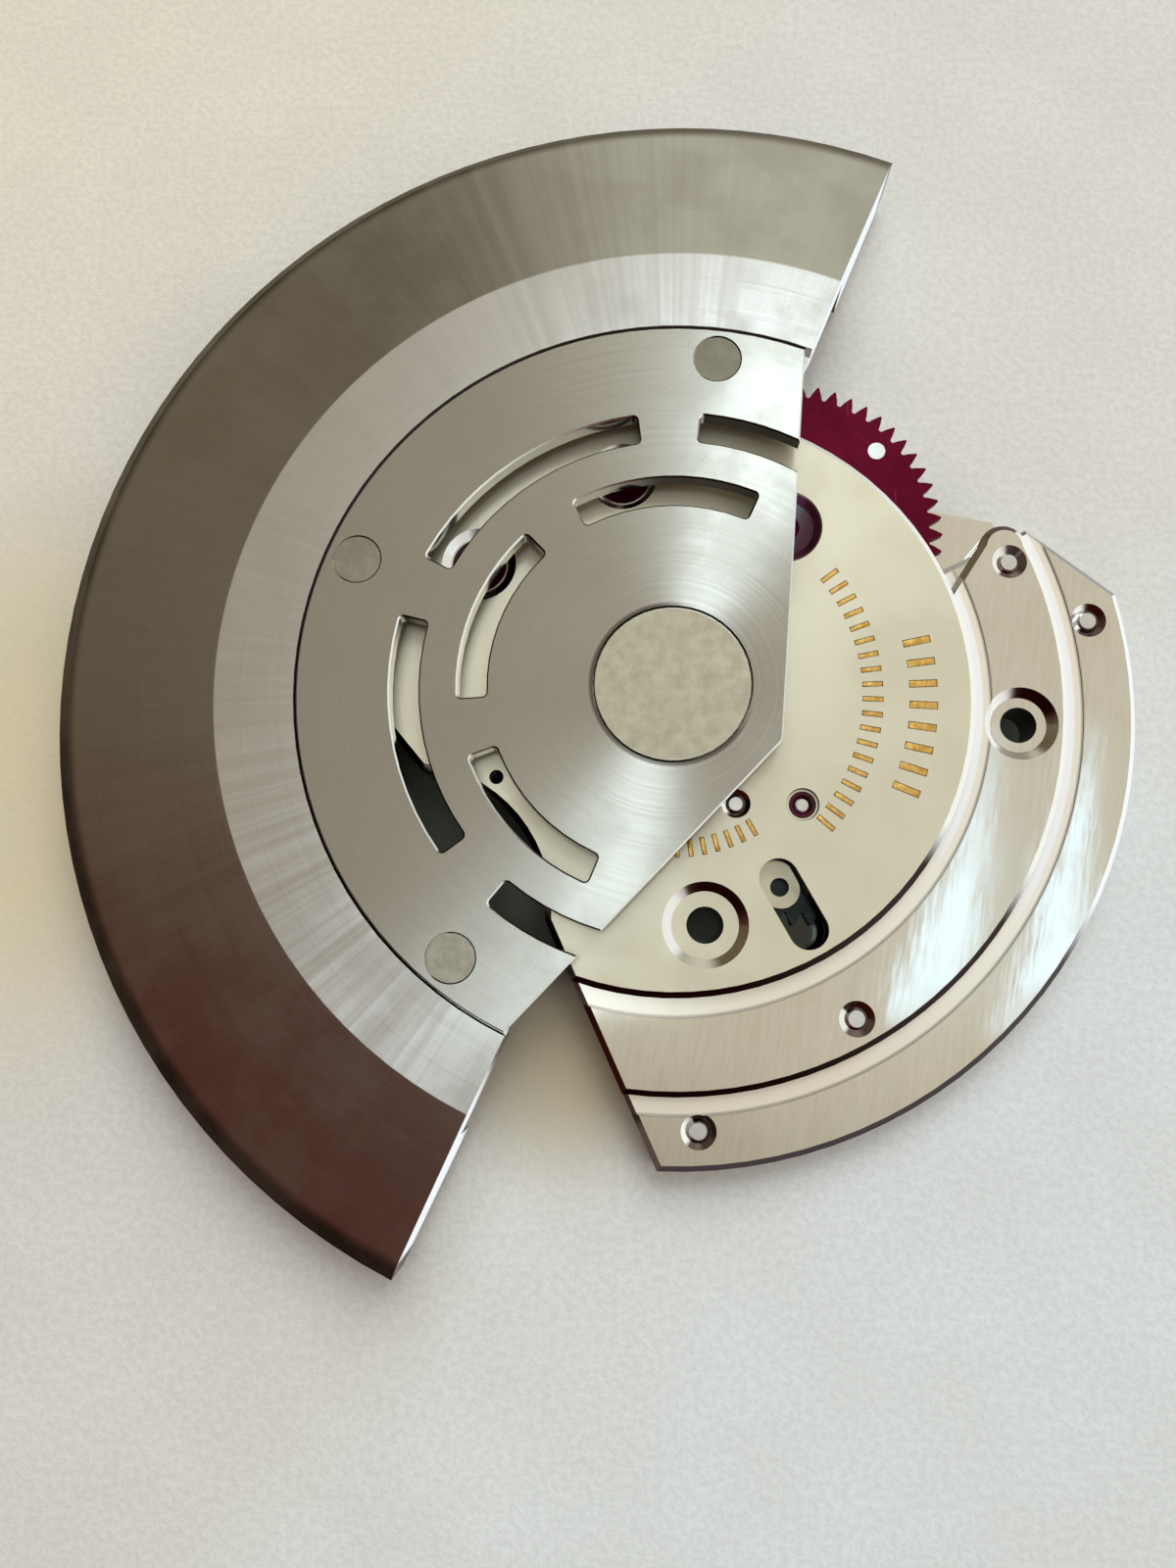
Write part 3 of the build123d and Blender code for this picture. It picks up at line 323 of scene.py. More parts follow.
def millimetres(graph):
    place = graph.node("ShaderNodeTexCoord").outputs["Object"]
    return graph.vector("SCALE", place, scale=1 / MM)


def level_part(graph, way):
    return graph.vector("NORMALIZE", graph.vector("MULTIPLY", way, (1.0, 1.0, 0.0)))


def object_normal(graph):
    return graph.node("ShaderNodeTexCoord").outputs["Normal"]


def world_normal(graph):
    return graph.node("ShaderNodeNewGeometry").outputs["Normal"]


def to_world(graph, way):
    kinds = {"vector_type": "VECTOR", "convert_from": "OBJECT", "convert_to": "WORLD"}
    return graph.node("ShaderNodeVectorTransform", {"Vector": way}, **kinds).outputs[0]


def levelness(graph):
    """How level a face is: 1 on a top or an underside, 0 on an upright wall."""
    return graph.math("ABSOLUTE", graph.split(object_normal(graph))[2])


def level_top(graph):
    """1 on level faces, above and underneath, and 0 on walls and bevels."""
    return graph.step(levelness(graph), *LEVEL_FACE)


def softened_normal(graph, lean):
    """The world's normal, leaning up, so that a bevel reflects less of the horizon."""
    return graph.vector("NORMALIZE", graph.vector("ADD", world_normal(graph), graph.join(0.0, 0.0, lean)))


def turned_group():
    """Where a point lies round an axis: its radius and its directions, in millimetres."""
    inputs = [("Centre", "NodeSocketVector", (0.0, 0.0, 0.0))]
    outputs = [
        ("Radius", "NodeSocketFloat"), ("Outward", "NodeSocketVector"), ("Around", "NodeSocketVector"),
        ("Place", "NodeSocketVector"),
    ]
    group, graph, given, made = new_group("Round an axis", inputs, outputs)
    place = graph.vector("SUBTRACT", millimetres(graph), given["Centre"])
    x, y, z = graph.split(place)
    flat = graph.join(x, y, 0.0)
    outward = graph.vector("NORMALIZE", flat)
    outward_x, outward_y, _ = graph.split(outward)
    graph.give(made["Radius"], graph.vector("LENGTH", flat))
    graph.give(made["Outward"], outward)
    graph.give(made["Around"], graph.join(graph.product(outward_y, -1.0), outward_x, 0.0))
    graph.give(made["Place"], place)
    return group


def brushed_group():
    """Fine parallel lines left by a tool, as a normal and a mask. Along a line, Lines stays the same."""
    inputs = [
        ("Lines", "NodeSocketVector", (0.0, 0.0, 0.0)), ("Tilt", "NodeSocketVector", (0.0, 0.0, 0.0)),
        ("Strength", "NodeSocketFloat", 0.1), ("Coarse", "NodeSocketFloat", 8.0),
        ("Fine", "NodeSocketFloat", 40.0), ("Over", "NodeSocketVector", (0.0, 0.0, 1.0)),
    ]
    outputs = [("Normal", "NodeSocketVector"), ("Mask", "NodeSocketFloat")]
    group, graph, given, made = new_group("Tool lines", inputs, outputs)
    shares = []
    for label, share in (("Fine", 0.75), ("Coarse", 0.25)):
        place = graph.vector("SCALE", given["Lines"], scale=given[label])
        shares.append(graph.product(graph.noise(place, scale=1.0, detail=2.0, roughness=0.6), share))
    both = graph.math("ADD", *shares)
    lean = graph.product(graph.math("SUBTRACT", both, 0.5), given["Strength"])
    tilt = to_world(graph, graph.vector("SCALE", given["Tilt"], scale=lean))
    graph.give(made["Normal"], graph.vector("NORMALIZE", graph.vector("ADD", given["Over"], tilt)))
    graph.give(made["Mask"], both)
    return group


def handled_group():
    """Soft smudges and small scratches, as masks."""
    inputs = [("Scale", "NodeSocketFloat", 1.0)]
    outputs = [("Smudge", "NodeSocketFloat"), ("Scratch", "NodeSocketFloat")]
    group, graph, given, made = new_group("Handling marks", inputs, outputs)
    place = graph.vector("SCALE", millimetres(graph), scale=given["Scale"])
    smudge = graph.noise(place, scale=0.55, detail=4.0, roughness=0.6)
    stretched = graph.vector("MULTIPLY", place, (6.0, 0.35, 1.0))
    scratch = graph.noise(stretched, scale=1.6, detail=3.0, roughness=0.7)
    graph.give(made["Smudge"], graph.step(smudge, 0.38, 0.66))
    graph.give(made["Scratch"], graph.step(scratch, 0.66, 0.72))
    return group


def sunny_group():
    """The side of an upright or sloping face: 1 where it looks east, 0 where it looks any other way."""
    group, graph, given, made = new_group("Sunny side", [], [("Mask", "NodeSocketFloat")])
    side = level_part(graph, object_normal(graph))
    graph.give(made["Mask"], graph.step(graph.towards(side, SUNNY_WAY), 0.30, 0.62))
    return group


EFFECTS = {}


def effect(graph, maker, **values):
    """Places a shared effect in a material, built the first time it is asked for, and gives its outputs."""
    if maker not in EFFECTS:
        EFFECTS[maker] = maker()
    inputs = {label.replace("_", " "): value for label, value in values.items()}
    return graph.node("ShaderNodeGroup", inputs, node_tree=EFFECTS[maker]).outputs


def turned_face(graph, axis, depth, coarse=4.0, fine=10.0):
    """Lines turned round an axis on the level faces of a piece."""
    return effect(
        graph, brushed_group, Lines=graph.join(axis["Radius"], 0.0, 0.0), Tilt=axis["Outward"],
        Strength=graph.product(level_top(graph), depth), Coarse=coarse, Fine=fine, Over=world_normal(graph),
    )


def new_material(name, **settings):
    """A material with a Principled shader, as (material, graph, shader)."""
    material = bpy.data.materials.new(name)
    material.use_nodes = True
    material.node_tree.nodes.clear()
    graph = Graph(material.node_tree)
    shader = graph.node("ShaderNodeBsdfPrincipled")
    last = graph.node("ShaderNodeOutputMaterial")
    material.node_tree.links.new(shader.outputs[0], last.inputs["Surface"])
    for label, value in settings.items():
        graph.give(shader.inputs[label.replace("_", " ")], value)
    return material, graph, shader


def coat(graph, shader, tint, roughness, normal=None):
    """Gives a shader its colour, its roughness and, where there is one, its normal."""
    graph.give(shader.inputs["Base Color"], tint)
    graph.give(shader.inputs["Roughness"], roughness)
    if normal is not None:
        graph.give(shader.inputs["Normal"], normal)


def dress(names, material):
    for name in names:
        slots = frame["nodes"][name].material_slots
        if not slots:
            frame["nodes"][name].data.materials.append(material)
        for slot in slots:
            slot.material = material


def joint_place(name):
    """A point of a joint's axis, in millimetres."""
    joint = next(one for one in frame["joints"] if one["name"] == name)
    return tuple(part / MM for part in joint["pos_m"])


def new_object(context, name, mesh):
    """Puts a finished bmesh in the scene, as an object."""
    data = bpy.data.meshes.new(name)
    mesh.to_mesh(data)
    mesh.free()
    made = bpy.data.objects.new(name, data)
    context.scene.collection.objects.link(made)
    return made


# The finishes, each with the settings that a user would change


class WeightSettings(bpy.types.PropertyGroup):
    """Sizes and colours of the oscillating weight."""

    flat_radius: FloatProperty(
        name="Flat ring", description="Radius at which the flat ring ends and the cone starts",
        default=0.01004, subtype="DISTANCE",
    )
    rim_radius: FloatProperty(
        name="Rim", description="Radius at which the cone ends and the rim's bevel starts", default=0.0136,
        subtype="DISTANCE",
    )
    flat_colour: FloatVectorProperty(
        name="Flat ring colour", description="Colour of the flat ring", default=(0.66, 0.63, 0.58),
        subtype="COLOR", min=0.0, max=1.0,
    )
    cone_colour: FloatVectorProperty(
        name="Cone colour", description="Colour of the conical face", default=(0.36, 0.34, 0.30),
        subtype="COLOR", min=0.0, max=1.0,
    )
    brushing: FloatProperty(
        name="Brushing", description="Depth of the brushed lines", default=0.30, min=0.0, max=5.0
    )


class PlateSettings(bpy.types.PropertyGroup):
    """Sizes and colours of the rotor plate, its rivets and its axle head."""

    colour: FloatVectorProperty(
        name="Plate colour", description="Colour of the turned plate", default=(0.47, 0.44, 0.375),
        subtype="COLOR", min=0.0, max=1.0,
    )
    head_colour: FloatVectorProperty(
        name="Head colour", description="Colour of the matte axle head", default=(0.66, 0.61, 0.45),
        subtype="COLOR", min=0.0, max=1.0,
    )
    head_radius: FloatProperty(
        name="Head", description="Radius of the axle's head", default=0.00172, subtype="DISTANCE"
    )
    turning: FloatProperty(
        name="Turning", description="Depth of the turned lines", default=0.14, min=0.0, max=5.0
    )


class BridgeSettings(bpy.types.PropertyGroup):
    """Colours of the two bridges."""

    colour: FloatVectorProperty(
        name="Bridge colour", description="Colour of the satin faces", default=(0.72, 0.67, 0.56),
        subtype="COLOR", min=0.0, max=1.0,
    )
    band_width: FloatProperty(
        name="Turned band", description="Width of the bright band at the foot of each step", default=0.00042,
        subtype="DISTANCE",
    )
    grain: FloatProperty(
        name="Grain", description="Depth of the straight satin lines", default=0.03, min=0.0, max=5.0
    )


class MarkSettings(bpy.types.PropertyGroup):
    """Size and colour of the gilt marks on the highest plateau."""

    colour: FloatVectorProperty(
        name="Gilding", description="Colour of the gilt marks", default=(0.83, 0.52, 0.16), subtype="COLOR",
        min=0.0, max=1.0,
    )
    gap: FloatProperty(
        name="Gap", description="Gap between a mark and its recess", default=0.000004, subtype="DISTANCE"
    )
    sink: FloatProperty(
        name="Sink", description="How far a mark lies below the plateau", default=0.000004, subtype="DISTANCE"
    )
    segments: IntProperty(
        name="Segments", description="Steps in a mark's rounded edge", default=3, min=1, max=8
    )


class WheelSettings(bpy.types.PropertyGroup):
    """Colours of the reversing discs and of the brass wheels."""

    disc_colour: FloatVectorProperty(
        name="Disc colour", description="Colour of the anodised discs", default=(0.13, 0.002, 0.020),
        subtype="COLOR", min=0.0, max=1.0,
    )
    brass_colour: FloatVectorProperty(
        name="Brass colour", description="Colour of the gilt wheels", default=(0.80, 0.58, 0.27),
        subtype="COLOR", min=0.0, max=1.0,
    )


class JewelSettings(bpy.types.PropertyGroup):
    """Colour of the ruby bearings."""

    colour: FloatVectorProperty(
        name="Ruby", description="Colour of the ruby", default=(0.075, 0.002, 0.016), subtype="COLOR",
        min=0.0, max=1.0,
    )


class SteelSettings(bpy.types.PropertyGroup):
    """Colour of the polished steel pieces."""

    colour: FloatVectorProperty(
        name="Steel", description="Colour of the polished steel", default=(0.72, 0.70, 0.67), subtype="COLOR",
        min=0.0, max=1.0,
    )


class StageSettings(bpy.types.PropertyGroup):
    """The paper, the lamps and the sky."""

    paper_colour: FloatVectorProperty(
        name="Paper", description="Colour of the paper", default=(0.84, 0.83, 0.78), subtype="COLOR", min=0.0,
        max=1.0,
    )
    paper_size: FloatProperty(
        name="Paper size", description="Half the side of the paper", default=0.30, subtype="DISTANCE"
    )
    key_bearing: FloatProperty(
        name="Window bearing", description="Bearing of the main lamp", default=math.radians(77.0),
        subtype="ANGLE",
    )
    key_height: FloatProperty(
        name="Window height", description="Height angle of the main lamp", default=math.radians(52.0),
        subtype="ANGLE",
    )
    key_distance: FloatProperty(
        name="Window distance", description="How far the main lamp stands", default=0.32, subtype="DISTANCE"
    )
    key_size: FloatProperty(
        name="Window size", description="Side of the main lamp", default=0.22, subtype="DISTANCE"
    )
    key_radiance: FloatProperty(
        name="Window light", description="Radiance of the main lamp", default=3.0, min=0.0
    )
    card_light: FloatProperty(
        name="Card light", description="Radiance of the low bright card east of the module", default=1.0,
        min=0.0,
    )
    glint_light: FloatProperty(
        name="Glint light", description="Radiance of the narrow panes overhead", default=2.2, min=0.0
    )
    pane_light: FloatProperty(
        name="Pane light", description="Share of the light of the bright panes overhead", default=1.0, min=0.0
    )


# Operators, one for each group of pieces


class WINDING_OT_weight(bpy.types.Operator):
    """Brush the oscillating weight"""

    bl_idname = "winding.weight"
    bl_label = "Oscillating weight"

    def execute(self, context):
        given = context.scene.winding_weight
        flat_radius = given.flat_radius / MM
        rim_radius = given.rim_radius / MM
        material, graph, shader = new_material("Brushed weight", Metallic=1.0)
        axis = effect(graph, turned_group)
        marks = effect(graph, handled_group)
        cone = graph.step(axis["Radius"], flat_radius - 0.03, flat_radius + 0.03)
        rim = graph.step(axis["Radius"], rim_radius - 0.24, rim_radius + 0.02)
        bevel = graph.step(axis["Radius"], rim_radius - 0.01, rim_radius + 0.01)
        top = graph.step(levelness(graph), 0.45, 0.60)
        ends = graph.product(graph.inverse(top), graph.inverse(rim))
        lean = graph.product(graph.math("MAXIMUM", ends, graph.product(bevel, top)), 0.6)
        turned_depth = graph.blend(cone, given.brushing * 0.5, given.brushing * 0.4)
        turned = effect(
            graph, brushed_group, Lines=graph.join(axis["Radius"], 0.0, 0.0), Tilt=axis["Outward"],
            Strength=graph.product(top, turned_depth), Coarse=4.0, Fine=14.0,
            Over=softened_normal(graph, lean),
        )
        swept_depth = graph.blend(cone, given.brushing * 0.7, given.brushing * 0.28)
        swept = effect(
            graph, brushed_group, Lines=graph.vector("SCALE", axis["Outward"], scale=10.0),
            Tilt=axis["Around"], Strength=graph.product(top, swept_depth), Coarse=2.8, Fine=6.5,
            Over=turned["Normal"],
        )
        tint = graph.mix(cone, tuple(given.flat_colour), tuple(given.cone_colour))
        # painted dark reflection: the rim's bevel is painted near black
        tint = graph.mix(rim, tint, TINTS["rim"])
        flat = graph.streak(tint, TINTS["pale streak"], swept["Mask"], 0.22, (0.38, 0.62))
        sloping = graph.streak(tint, TINTS["dark streak"], swept["Mask"], 0.05, (0.40, 0.62))
        worn = graph.wash(graph.mix(cone, flat, sloping), TINTS["worn weight"], marks["Smudge"], 0.22)
        # painted shade: the rim wall is painted near black, while the end faces keep the bright bevel colour
        wall = graph.mix(rim, TINTS["weight bevel"], TINTS["rim wall in painted shade"])
        rough = graph.blend(cone, 0.28, 0.26)
        rough = graph.blend(marks["Smudge"], rough, graph.math("ADD", rough, 0.08))
        rough = graph.blend(top, graph.blend(rim, 0.18, 0.34), rough)
        coat(graph, shader, graph.mix(top, wall, worn), rough, swept["Normal"])
        dress(["rotor_weight"], material)
        return {"FINISHED"}


class WINDING_OT_plate(bpy.types.Operator):
    """Turn the rotor plate, and finish its rivets and the axle's head"""

    bl_idname = "winding.plate"
    bl_label = "Rotor plate"

    def execute(self, context):
        given = context.scene.winding_plate
        material, graph, shader = new_material("Turned plate", Metallic=1.0, Anisotropic=0.9)
        axis = effect(graph, turned_group)
        graph.give(shader.inputs["Tangent"], to_world(graph, axis["Outward"]))
        marks = effect(graph, handled_group, Scale=0.8)
        turned = turned_face(graph, axis, given.turning, coarse=3.5)
        tint = graph.streak(tuple(given.colour), TINTS["turned line"], turned["Mask"], 0.12)
        tint = graph.wash(tint, TINTS["worn plate"], marks["Smudge"], 0.25)
        edge = given.head_radius / MM
        # painted shade: a dark ring round the head, darker on the side away from the light
        away = graph.step(graph.towards(axis["Outward"], NORTH_EAST), 0.3, 0.8, 0.75, 0.0)
        oiled = graph.product(graph.fade(axis["Radius"], edge + 0.05, edge + 0.13), away)
        tint = graph.mix(oiled, tint, TINTS["oil"])
        walls = graph.mix(effect(graph, sunny_group)["Mask"], TINTS["slot in shade"], TINTS["slot in light"])
        top = level_top(graph)
        rough = graph.blend(top, 0.16, graph.blend(marks["Smudge"], 0.24, 0.29))
        coat(graph, shader, graph.mix(top, walls, tint), rough, turned["Normal"])
        dress(["rotor_plate"], material)
        self.head(given)
        self.rivets()
        return {"FINISHED"}

    def head(self, given):
        material, graph, shader = new_material("Matte axle head", Metallic=1.0)
        axis = effect(graph, turned_group)
        marks = effect(graph, handled_group, Scale=2.5)
        radius = given.head_radius / MM
        top = level_top(graph)
        matte = graph.product(graph.fade(axis["Radius"], radius - 0.08, radius - 0.05), top)
        cloud = graph.noise(millimetres(graph), scale=3.4, detail=4.0, roughness=0.65)
        tint = graph.mix(graph.step(cloud, 0.30, 0.70), tuple(given.head_colour), TINTS["clouded head"])
        tint = graph.wash(tint, TINTS["scratched head"], marks["Scratch"], 0.20)
        tint = graph.mix(matte, TINTS["polished head"], tint)
        sunny = effect(graph, sunny_group)["Mask"]
        edge = graph.mix(sunny, TINTS["head edge in shade"], TINTS["head edge in light"])
        rough = graph.blend(matte, 0.20, graph.blend(cloud, 0.42, 0.62))
        coat(graph, shader, graph.mix(top, edge, tint), rough, graph.bump(cloud, 0.25, 0.02))
        dress(["rotor_axle"], material)

    def rivets(self):
        material, graph, shader = new_material("Riveted ends", Metallic=1.0)
        place = millimetres(graph)
        cloud = graph.noise(place, scale=4.5, detail=4.0, roughness=0.6)
        top = level_top(graph)
        # painted shade: rivets towards the north are painted darker, as the light falls
        painted_shade_northward = graph.step(graph.split(place)[1], 0.0, 7.5)
        tint = graph.mix(painted_shade_northward, TINTS["south rivet"], TINTS["north rivet in painted shade"])
        tint = graph.streak(tint, TINTS["clouded rivet"], cloud, 0.25, CLOUDS)
        rough = graph.blend(top, 0.18, graph.blend(cloud, 0.34, 0.50))
        coat(graph, shader, graph.mix(top, TINTS["rivet edge"], tint), rough, graph.bump(cloud, 0.2, 0.02))
        dress(["weight_rivets"], material)


class WINDING_OT_bridges(bpy.types.Operator):
    """Finish the plateaus, bevels, sinks and turned bands of the bridges"""

    bl_idname = "winding.bridges"
    bl_label = "Bridges"

    def execute(self, context):
        given = context.scene.winding_bridge
        material, graph, shader = new_material("Satin bridge", Metallic=1.0)
        axis = effect(graph, turned_group)
        marks = effect(graph, handled_group, Scale=0.7)
        height = graph.split(axis["Place"])[2]
        top = level_top(graph)
        lean = graph.product(graph.inverse(top), graph.step(height, 1.11, 1.15, 0.0, 0.55))
        across = graph.towards(axis["Place"], ACROSS_GRAIN)
        along = graph.product(graph.towards(axis["Place"], ALONG_GRAIN), 0.10)
        satin = effect(
            graph, brushed_group, Lines=graph.join(across, along, height), Tilt=ACROSS_GRAIN,
            Strength=graph.product(top, given.grain), Coarse=3.0, Fine=11.0,
            Over=softened_normal(graph, lean),
        )
        band, band_highlight, groove = self.rings(graph, axis, height, given.band_width / MM)
        tint = graph.wash(tuple(given.colour), TINTS["worn satin"], marks["Smudge"], 0.35)
        tint = graph.streak(tint, TINTS["satin line"], satin["Mask"], 0.20)
        tint = graph.mix(band, tint, TINTS["turned band"])
        # painted highlight: the band is painted white on its east side
        tint = graph.mix(band_highlight, tint, TINTS["band in painted light"])
        tint = graph.wash(tint, TINTS["groove"], groove, 0.55)
        frosted = graph.product(top, graph.step(height, *FROSTED_HEIGHT))
        matte = graph.wash(TINTS["frosted"], TINTS["worn frosted"], marks["Smudge"], 0.4)
        # painted light: where the rotor covers it at rest, the frosted plateau is painted brighter
        painted_light_under_rotor = graph.fade(graph.towards(axis["Outward"], UNCOVERED_WAY), -0.12, 0.08)
        tint = graph.mix(frosted, tint, graph.mix(painted_light_under_rotor, matte, TINTS["frosted in painted light"]))
        # painted shade: low parts inside the window are painted near black
        deep = graph.product(graph.fade(height, *DEEP_HEIGHT), graph.fade(axis["Radius"], *DEEP_RADIUS))
        finish = graph.mix(deep, graph.mix(top, self.walls(graph, axis), tint), TINTS["deep inside in painted shade"])
        site = (*joint_place("reverser_1_disc_spin")[:2], TOP_PLATEAU)
        finish = graph.mix(graph.near(axis["Place"], site, *JEWEL_SINK_RADIUS), finish, TINTS["jewel sink"])
        clean, smudged = graph.blend(frosted, 0.07, 0.38), graph.blend(frosted, 0.10, 0.46)
        rough = graph.blend(band, graph.blend(marks["Smudge"], clean, smudged), 0.20)
        rough = graph.blend(top, 0.13, rough)
        plain = graph.blend(band, graph.blend(frosted, 1.0, 0.70), 0.45)
        # the painted highlight is made mostly diffuse, so that it stays white
        graph.give(shader.inputs["Metallic"], graph.blend(band_highlight, plain, 0.15))
        coat(graph, shader, finish, rough, satin["Normal"])
        dress(["upper_bridge", "lower_bridge"], material)
        return {"FINISHED"}

    def rings(self, graph, axis, height, width):
        """The turned band at the foot of each step, the part of it painted white as a highlight on the east
        side, and the groove at its edge.
        """
        radius = axis["Radius"]
        east = graph.step(graph.towards(axis["Outward"], NORTH_EAST), *EAST_SIDE)
        band, band_highlight, groove = 0.0, 0.0, 0.0
        for foot, step_height in STEPS:
            inner = graph.step(radius, foot - 0.01, foot + 0.01)
            outer = graph.fade(radius, foot + width - 0.02, foot + width + 0.02)
            low = graph.math("LESS_THAN", height, step_height)
            ring = graph.product(inner, outer, low)
            band = graph.math("MAXIMUM", band, ring)
            near = graph.fade(radius, foot + 0.20, foot + 0.26)
            band_highlight = graph.math("MAXIMUM", band_highlight, graph.product(ring, near, east))
            rising = graph.step(radius, foot + width - 0.07, foot + width - 0.03)
            falling = graph.fade(radius, foot + width, foot + width + 0.04)
            groove = graph.math("MAXIMUM", groove, graph.product(rising, falling, low))
        return band, band_highlight, groove

    def walls(self, graph, axis):
        """Painted light and shade on bevels and upright faces, which follow the way that they face."""
        place = axis["Place"]
        side = level_part(graph, object_normal(graph))
        outward = graph.step(graph.towards(side, axis["Outward"]), 0.85, 0.95)
        sunny_step = graph.step(graph.towards(side, NORTH_EAST), *EAST_SIDE)
        sunny = graph.blend(outward, effect(graph, sunny_group)["Mask"], sunny_step)
        dim = graph.mix(outward, TINTS["inner bevel in shade"], TINTS["outer bevel in shade"])
        ear = graph.near(place, NORTH_EAR, 0.9, 1.2)
        ear_wall = graph.product(ear, graph.step(graph.towards(side, NORTH_WEST), 0.3, 0.6))
        dim = graph.mix(ear_wall, dim, TINTS["grey bevel"])
        for site in SCREW_SINKS:
            around = graph.near(place, site, 1.2, 1.3)
            shaded = graph.step(graph.towards(side, SINK_SHADE_WAY), 0.35, 0.80)
            dim = graph.mix(around, dim, graph.mix(shaded, TINTS["grey bevel"], TINTS["sink in shade"]))
        walls = graph.mix(sunny, dim, TINTS["bevel in light"])
        upright = graph.fade(levelness(graph), 0.10, 0.30)
        # painted shade: upright walls of holes and openings are painted dark
        opening = graph.product(upright, graph.product(graph.fade(axis["Radius"], *OPENINGS_RADIUS), 0.8))
        walls = graph.mix(opening, walls, TINTS["opening"])
        return graph.mix(graph.product(upright, outward), walls, TINTS["outer flank"])


class WINDING_OT_marks(bpy.types.Operator):
    """Fill the rings of shallow marks with gilding"""

    bl_idname = "winding.marks"
    bl_label = "Gilt marks"

    def execute(self, context):
        given = context.scene.winding_marks
        mesh = bmesh.new()
        high = TOP_PLATEAU * MM - given.sink
        low = (TOP_PLATEAU - MARK_DEPTH) * MM
        for inner, length, width, first, last, count in MARK_RINGS:
            spread = (last - first) / (count - 1)
            size = (length * MM - 2 * given.gap, width * MM - 2 * given.gap, high - low)
            for number in range(count):
                turn = Matrix.Rotation(math.radians(first + number * spread), 4, "Z")
                out = Matrix.Translation(((inner + length / 2) * MM, 0.0, (high + low) / 2))
                stretch = Matrix.Diagonal((*size, 1.0))
                bmesh.ops.create_cube(mesh, size=1.0, matrix=turn @ out @ stretch)
        upper = [edge for edge in mesh.edges if min(corner.co.z for corner in edge.verts) > high - 1e-9]
        bmesh.ops.bevel(
            mesh, geom=upper, offset=MARK_ROUNDING * MM, offset_type="OFFSET", affect="EDGES",
            segments=given.segments, profile=0.5, material=-1,
        )
        bmesh.ops.recalc_face_normals(mesh, faces=mesh.faces)
        marks = new_object(context, "gilt_marks", mesh)
        for face in marks.data.polygons:
            face.use_smooth = True
        material, graph, shader = new_material("Gilding", Metallic=1.0)
        grain = graph.noise(millimetres(graph), scale=9.0, detail=3.0, roughness=0.6)
        tint = graph.mix(graph.step(grain, *CLOUDS), tuple(given.colour), TINTS["deep gilding"])
        coat(graph, shader, tint, graph.blend(grain, 0.26, 0.44), graph.bump(grain, 0.4, 0.02))
        marks.data.materials.append(material)
        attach(marks, "bridges")
        return {"FINISHED"}


class WINDING_OT_wheels(bpy.types.Operator):
    """Finish the anodised discs and the gilt brass wheels, and paint the driving wheel near black as shade"""

    bl_idname = "winding.wheels"
    bl_label = "Wheels"

    def execute(self, context):
        given = context.scene.winding_wheels
        for number in (1, 2):
            centre = joint_place(f"reverser_{number}_disc_spin")
            self.disc(given, number, centre)
            self.brass(given, f"Gilt wheel {number}", centre, f"reverser_{number}_wheel")
        self.brass(given, "Gilt centre wheel", (0.0, 0.0, 0.0), "centre_idler")
        self.dark_wheel(joint_place("driving_spin"))
        return {"FINISHED"}

    def disc(self, given, number, centre):
        material, graph, shader = new_material(f"Anodised disc {number}", Metallic=0.9)
        marks = effect(graph, handled_group, Scale=1.6)
        turned = turned_face(graph, effect(graph, turned_group, Centre=centre), 0.3)
        deep = tuple(0.55 * part for part in given.disc_colour)
        tint = graph.streak(tuple(given.disc_colour), deep, turned["Mask"], 0.5)
        tint = graph.wash(tint, TINTS["scratched disc"], marks["Scratch"], 0.25)
        coat(graph, shader, tint, graph.blend(marks["Smudge"], 0.36, 0.48), turned["Normal"])
        dress([f"reverser_{number}_disc"], material)

    def dark_wheel(self, centre):
        material, graph, shader = new_material("Driving wheel in painted shade", Metallic=1.0)
        marks = effect(graph, handled_group, Scale=1.8)
        turned = turned_face(graph, effect(graph, turned_group, Centre=centre), 0.3)
        # painted shade: the driving wheel, inside the window, is painted near black
        tint = graph.mix(marks["Smudge"], TINTS["wheel_in_painted_shade"], TINTS["smudged wheel in painted shade"])
        coat(graph, shader, tint, graph.blend(marks["Smudge"], 0.30, 0.42), turned["Normal"])
        dress(["driving_wheel"], material)

    def brass(self, given, name, centre, node):
        material, graph, shader = new_material(name, Metallic=1.0)
        marks = effect(graph, handled_group, Scale=1.4)
        turned = turned_face(graph, effect(graph, turned_group, Centre=centre), 0.4)
        tint = graph.wash(tuple(given.brass_colour), TINTS["worn brass"], marks["Smudge"], 0.5)
        coat(graph, shader, tint, graph.blend(marks["Smudge"], 0.24, 0.36), turned["Normal"])
        dress([node], material)


class WINDING_OT_jewels(bpy.types.Operator):
    """Give the bearings their ruby"""

    bl_idname = "winding.jewels"
    bl_label = "Jewels"

    def execute(self, context):
        given = context.scene.winding_jewels
        material, graph, shader = new_material(
            "Ruby", Metallic=0.0, Transmission_Weight=0.15, IOR=1.77, Specular_IOR_Level=0.10
        )
        cloud = graph.noise(millimetres(graph), scale=2.2, detail=3.0, roughness=0.5)
        deep = tuple(0.45 * part for part in given.colour)
        tint = graph.mix(graph.step(cloud, *CLOUDS), tuple(given.colour), deep)
        coat(graph, shader, tint, graph.blend(cloud, 0.03, 0.10))
        dress([name for name in frame["nodes"] if "jewel" in name], material)
        return {"FINISHED"}


